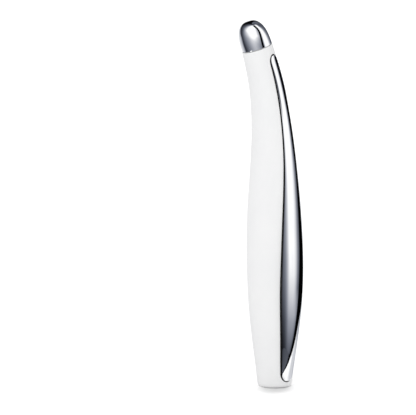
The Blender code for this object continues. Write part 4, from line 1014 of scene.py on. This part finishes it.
def strip_chrome():
    """Chrome with a painted shade line: its colour darkened along its rolled front edge beside the
    bed.
    """
    nodes = moulded("bright_strip", **CHROME)
    shader = nodes.tree.nodes["Principled BSDF"]
    colour = shader.inputs["Base Color"].links[0].from_socket
    shade = nodes.ramp(nodes.parts("UV")["X"], greys(EDGE_SHADE_STOPS))
    inputs = {"Factor": 1, "A": colour, "B": shade}
    product = nodes.add("Mix", inputs, data_type="RGBA", blend_type="MULTIPLY")
    nodes.shade({"Base Color": product.outputs["Result"]})
    return nodes.owner


def battery_jacket():
    """A printed metal wrap: a bare end ring, a light band and a deep blue body."""
    nodes = moulded("battery_jacket", **JACKET)
    low, high = (corner.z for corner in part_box("battery"))
    height = nodes.ranged(nodes.parts()["Z"], 0, 1, low, high)
    nodes.shade({"Base Color": nodes.ramp(height, JACKET_STOPS, "CONSTANT")})
    return nodes.owner


def board_green():
    """Solder mask with fine copper traces showing lighter under it."""
    nodes = moulded("board_green", **BOARD)
    flat = nodes.add("Mapping", {"Vector": nodes.place(), "Rotation": (math.radians(90), 0, 0)})
    traces = nodes.add("TexBrick", {"Vector": flat.outputs["Vector"], **BOARD_TRACES})
    nodes.shade({"Base Color": traces.outputs["Color"]})
    return nodes.owner


# Black foam, and painted shade where the seals' lips fill the strips' gaps
def foam_and_gap_shade():
    nodes = moulded("foam_tape", **FOAM_AND_GAP_SHADE)
    nodes.shade({"Specular IOR Level": FOAM_SPECULAR})
    cells = nodes.add("TexVoronoi", {"Vector": nodes.place(), "Scale": FOAM_CELLS})
    nodes.bump(cells.outputs["Distance"], FOAM_RELIEF)
    return nodes.owner


def dress(items, material):
    """One material over whole pieces."""
    for item in items:
        item.data.materials.clear()
        item.data.materials.append(material)


def dress_nodes(names, material):
    """The same for nodes of the frame, whose slots stay."""
    for name in names:
        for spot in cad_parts[name].material_slots:
            spot.material = material


def dress_all(shells, strips, seals, head, button):
    white = white_plastic()
    dress(seals, foam_and_gap_shade())
    dress((*shells, button), white)
    dress(strips, strip_chrome())
    dress([head], moulded("bright_head", **CHROME).owner)
    dress_nodes(["battery_cap"], white)
    dress_nodes(["battery"], battery_jacket())
    dress_nodes(["circuit_board"], board_green())
    for name, finish in INNER_FINISHES.items():
        dress_nodes(INNER_NODES[name], moulded(name, *finish).owner)


def aim(item, place, target):
    """Stand a camera or a lamp at a place and turn it to its target."""
    item.location = place
    item.rotation_euler = (target - place).to_track_quat("-Z", "Y").to_euler()


def make_camera():
    """The camera at the photograph's angle, turned aside to set the pen at its place there."""
    level = Vector((math.sin(CAMERA_AZIMUTH), -math.cos(CAMERA_AZIMUTH), 0))
    back = level * math.cos(CAMERA_ELEVATION) + Vector((0, 0, math.sin(CAMERA_ELEVATION)))
    right = Vector((math.cos(CAMERA_AZIMUTH), math.sin(CAMERA_AZIMUTH), 0))
    up = back.cross(right)
    target = OBJECT_MIDDLE - right * (PHOTO_RIGHT * PHOTO_SCALE) - up * (PHOTO_UP * PHOTO_SCALE)
    data = bpy.data.cameras.new("camera")
    data.sensor_width = SENSOR_WIDTH
    data.lens = SENSOR_WIDTH * CAMERA_DISTANCE / (PHOTO_SCALE * PHOTO_PIXELS)
    data.clip_end = CAMERA_REACH
    camera = add_object("camera", data)
    aim(camera, OBJECT_MIDDLE + back * CAMERA_DISTANCE, target)
    bpy.context.scene.camera = camera


def seen_rays(nodes):
    """1 for rays from the camera, glossy rays and rays through glass, 0 for the rest."""
    path = nodes.add("LightPath", {})
    total = path.outputs["Is Camera Ray"]
    for name in ("Is Glossy Ray", "Is Transmission Ray"):
        total = nodes.maths("MAXIMUM", total, path.outputs[name])
    return total


def make_world():
    """White behind the object, and a plain level of light on it."""
    world = bpy.data.worlds.new("studio")
    bpy.context.scene.world = world
    nodes = Nodes(world)
    light = nodes.fill(nodes.tree.nodes["Background"], {"Color": (1, 1, 1, 1), "Strength": AMBIENT})
    white = nodes.add("Background", {"Color": (1, 1, 1, 1), "Strength": 1})
    both = nodes.mixed(seen_rays(nodes), light.outputs["Background"], white.outputs["Background"])
    nodes.show(both, "World Output")


def bare_material(name):
    """The nodes of a new material, without its own shader."""
    nodes = Nodes(bpy.data.materials.new(name))
    nodes.tree.nodes.remove(nodes.tree.nodes["Principled BSDF"])
    return nodes


def from_shadow(nodes, place):
    """How far a place of the floor is from the painted contact shadow's middle: 1 at its oval's
    edge.
    """
    turn = (0, 0, math.pi / 2 - CAMERA_AZIMUTH)
    shift = (-SHADOW_PLACE, 0, 0)
    scale = (1 / SHADOW_HALF_LENGTH, 1 / SHADOW_HALF_WIDTH, 1)
    turned = nodes.add("Mapping", {"Vector": place, "Rotation": turn, "Location": shift})
    scaled = nodes.add("Mapping", {"Vector": turned.outputs["Vector"], "Scale": scale})
    return nodes.length(scaled.outputs["Vector"])


def floor_material():
    """White paper with a painted contact shadow in an oval, lifted to plain white where it is open.
    """
    nodes = bare_material("floor_white")
    place = nodes.place()
    near = from_shadow(nodes, place)
    shade = nodes.ranged(near, FLOOR_COLOUR * SHADOW_DEPTH, FLOOR_COLOUR, smooth=True)
    lift = nodes.ranged(near, 0, FLOOR_LIFT_NEAR, *SHADOW_LIFT_SHARES, smooth=True)
    far = nodes.ranged(nodes.length(place), 0, FLOOR_LIFT_FAR, *FLOOR_LIFT_SPAN, smooth=True)
    strength = nodes.maths("MULTIPLY", nodes.maths("ADD", lift, far), seen_rays(nodes))
    paper = nodes.add("BsdfDiffuse", {"Color": shade})
    glow = nodes.add("Emission", {"Strength": strength})
    both = nodes.add("AddShader", {0: paper.outputs["BSDF"], 1: glow.outputs["Emission"]})
    nodes.show(both.outputs["Shader"])
    return nodes.owner


def make_floor():
    half = FLOOR_SIZE / 2
    corners = [(-half, -half), (half, -half), (half, half), (-half, half)]
    mesh = bpy.data.meshes.new("floor")
    mesh.from_pydata([(x, y, -FLOOR_DROP) for x, y in corners], [], [(0, 1, 2, 3)])
    mesh.materials.append(floor_material())
    add_object("floor", mesh)


def add_lamp(name, place, size, power):
    """A soft square lamp that looks at the object and isn't seen in the chrome."""
    data = bpy.data.lights.new(name, "AREA")
    data.size = size
    data.energy = power
    lamp = add_object(name, data)
    aim(lamp, place, OBJECT_MIDDLE)
    lamp.visible_glossy = False
    lamp.visible_camera = False


def toned(grey):
    """Deep greys lean to slate, light ones stay neutral."""
    return tuple(grey * (1 + (share - 1) * (1 - grey) ** 2) for share in SLATE)


def card_material(name, across, up, fade, level):
    """Grey paper that glows as lit, graded across and up, and clear above the fade."""
    nodes = bare_material(name)
    parts = nodes.parts("UV")
    grey_across = nodes.ramp(parts["X"], greys(across, *ends(across)))
    grey_up = nodes.ramp(parts["Y"], greys(up, *ends(up)))
    lit = nodes.maths("MULTIPLY", nodes.maths("MULTIPLY", grey_across, grey_up), level / CARD_LEVEL)
    colour = nodes.ramp(lit, [(grey, toned(grey)) for grey in TONES])
    glow = nodes.add("Emission", {"Color": colour, "Strength": CARD_LEVEL})
    clear = nodes.add("BsdfTransparent", {})
    share = nodes.ranged(parts["Y"], 0, 1, fade)
    nodes.show(nodes.mixed(share, glow.outputs["Emission"], clear.outputs["BSDF"]))
    return nodes.owner


def add_card(name, place, across, up, fade=1, level=CARD_LEVEL):
    """A curved card round the object, which only the chrome sees."""
    wide = CARD_COLUMNS + 1
    spots = [(i / CARD_COLUMNS, j / CARD_ROWS) for j in range(CARD_ROWS + 1) for i in range(wide)]
    lows = [row * wide + column for row in range(CARD_ROWS) for column in range(CARD_COLUMNS)]
    mesh = bpy.data.meshes.new(name)
    faces = [(low, low + 1, low + wide + 1, low + wide) for low in lows]
    mesh.from_pydata([place(*spot) for spot in spots], [], faces)
    layer = mesh.uv_layers.new(name="card")
    for loop in mesh.loops:
        layer.data[loop.index].uv = spots[loop.vertex_index]
    mesh.materials.append(card_material(name, across, up, fade, level))
    card = add_object(name, mesh)
    card.visible_camera = False
    card.visible_diffuse = False
    card.visible_transmission = False
    card.visible_shadow = False


def ends(rows):
    """The first numbers of the first and the last row."""
    return rows[0][0], rows[-1][0]


def between(pair, share):
    return pair[0] + (pair[1] - pair[0]) * share


def row_at(rows, height):
    """The other numbers of rows that start with their height, at a height."""
    heights, *columns = zip(*rows)
    return [float(np.interp(height, heights, column)) for column in columns]


def far_place(edges, radius):
    """Places on a ball round the head, by degrees from the camera's side and above the level."""
    middle = head_frame().origin
    toward = math.atan2(-math.cos(CAMERA_AZIMUTH), math.sin(CAMERA_AZIMUTH))

    def place(a, b):
        high = between(ends(edges), b)
        angle = math.radians(between(row_at(edges, high), a)) + toward
        level = radius * math.cos(math.radians(high))
        offset = Vector((level * math.cos(angle), level * math.sin(angle), 0))
        return middle + offset + Vector((0, 0, radius * math.sin(math.radians(high))))

    return place


def on_wall(degrees, height, radius=NEAR_RADIUS, side=1):
    angle = math.radians(degrees)
    return Vector((side * radius * math.cos(angle), radius * math.sin(angle), height))


def wall_place(across, radius=NEAR_RADIUS, span=(0, NEAR_HIGH), side=1):
    """Places on an upright round wall close beside the object."""

    def place(a, b):
        return on_wall(between(ends(across), a), between(span, b), radius, side)

    return place


def edged_place(edges, high=NEAR_HIGH, radius=NEAR_RADIUS):
    """Places on the right wall between two edges, which are given at each height."""

    def place(a, b):
        height = high * b
        return on_wall(between(edges(height), a), height, radius)

    return place


def band_edges(height):
    """The black band on the right wall."""
    return row_at(BAND_ROWS, height)


def ramp_edges(height):
    """The part of the right wall that leads up to the band."""
    return row_at(RAMP_STARTS, height)[0], band_edges(height)[0]


def rim_edges(height):
    """The part of the right wall beyond the band."""
    return band_edges(height)[1], RIM_END


def floor_place(rows):
    """Places on the floor round the foot, by distance from its middle and direction."""

    def place(a, b):
        radius = between(ends(rows), b)
        angle = math.radians(between(row_at(rows, radius), a))
        return Vector((radius * math.cos(angle), radius * math.sin(angle), FLOOR_CARD_LEVEL))

    return place


def make_far_cards():
    left = far_place(LEFT_EDGES, LEFT_RADIUS)
    add_card("left_card", left, LEFT_CARD_ACROSS, LEFT_CARD_UP, level=LEFT_LEVEL)
    add_card("right_card", far_place(RIGHT_EDGES, RIGHT_RADIUS), RIGHT_CARD_ACROSS, EVEN)
    add_card("line_card", far_place(LINE_EDGES, LINE_RADIUS), LINE_ACROSS, EVEN)
    add_card("low_card", far_place(LOW_EDGES, LOW_RADIUS), LOW_CARD_ACROSS, LOW_CARD_UP, LOW_FADE)
    add_card("back_card", far_place(BACK_EDGES, BACK_RADIUS), BACK_CARD_ACROSS, EVEN)


def make_near_cards():
    front = wall_place(NEAR_FRONT_ACROSS)
    low = edged_place(ramp_edges, NEAR_LOW_HIGH, NEAR_LOW_RADIUS)
    left = wall_place(NEAR_LEFT_ACROSS, side=-1)
    neck = wall_place(NECK_CARD_ACROSS, NECK_RADIUS, NECK_SPAN)
    add_card(
        "near_card_front", front, NEAR_FRONT_ACROSS, NEAR_FRONT_UP, NEAR_FADE, NEAR_FRONT_LEVEL
    )
    add_card("near_card_back", edged_place(ramp_edges), NEAR_BACK_ACROSS, NEAR_UP, NEAR_FADE)
    add_card("near_card_low", low, NEAR_LOW_ACROSS, NEAR_LOW_UP, NEAR_LOW_FADE)
    add_card("black_band", edged_place(band_edges), BAND_ACROSS, EVEN, NEAR_FADE)
    add_card("rim_card", edged_place(rim_edges), RIM_ACROSS, RIM_UP, NEAR_FADE)
    add_card("near_card_left", left, NEAR_LEFT_ACROSS, NEAR_LEFT_UP, NEAR_FADE)
    add_card("neck_card", neck, NECK_CARD_ACROSS, EVEN, NECK_FADE)
    add_card("floor_card", floor_place(FLOOR_ROWS), FLOOR_CARD_ACROSS, EVEN)
    add_card("rear_card", floor_place(REAR_ROWS), REAR_CARD_ACROSS, EVEN)


def make_studio():
    make_camera()
    make_world()
    make_floor()
    add_lamp("key_lamp", KEY_PLACE, KEY_SIZE, KEY_POWER)
    add_lamp("fill_lamp", FILL_PLACE, FILL_SIZE, FILL_POWER)
    make_far_cards()
    make_near_cards()
    bpy.context.scene.view_settings.view_transform = "Standard"


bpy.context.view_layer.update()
make_studio()
dress_all(make_shells(), make_strips(), make_seals(), make_head(), make_button())
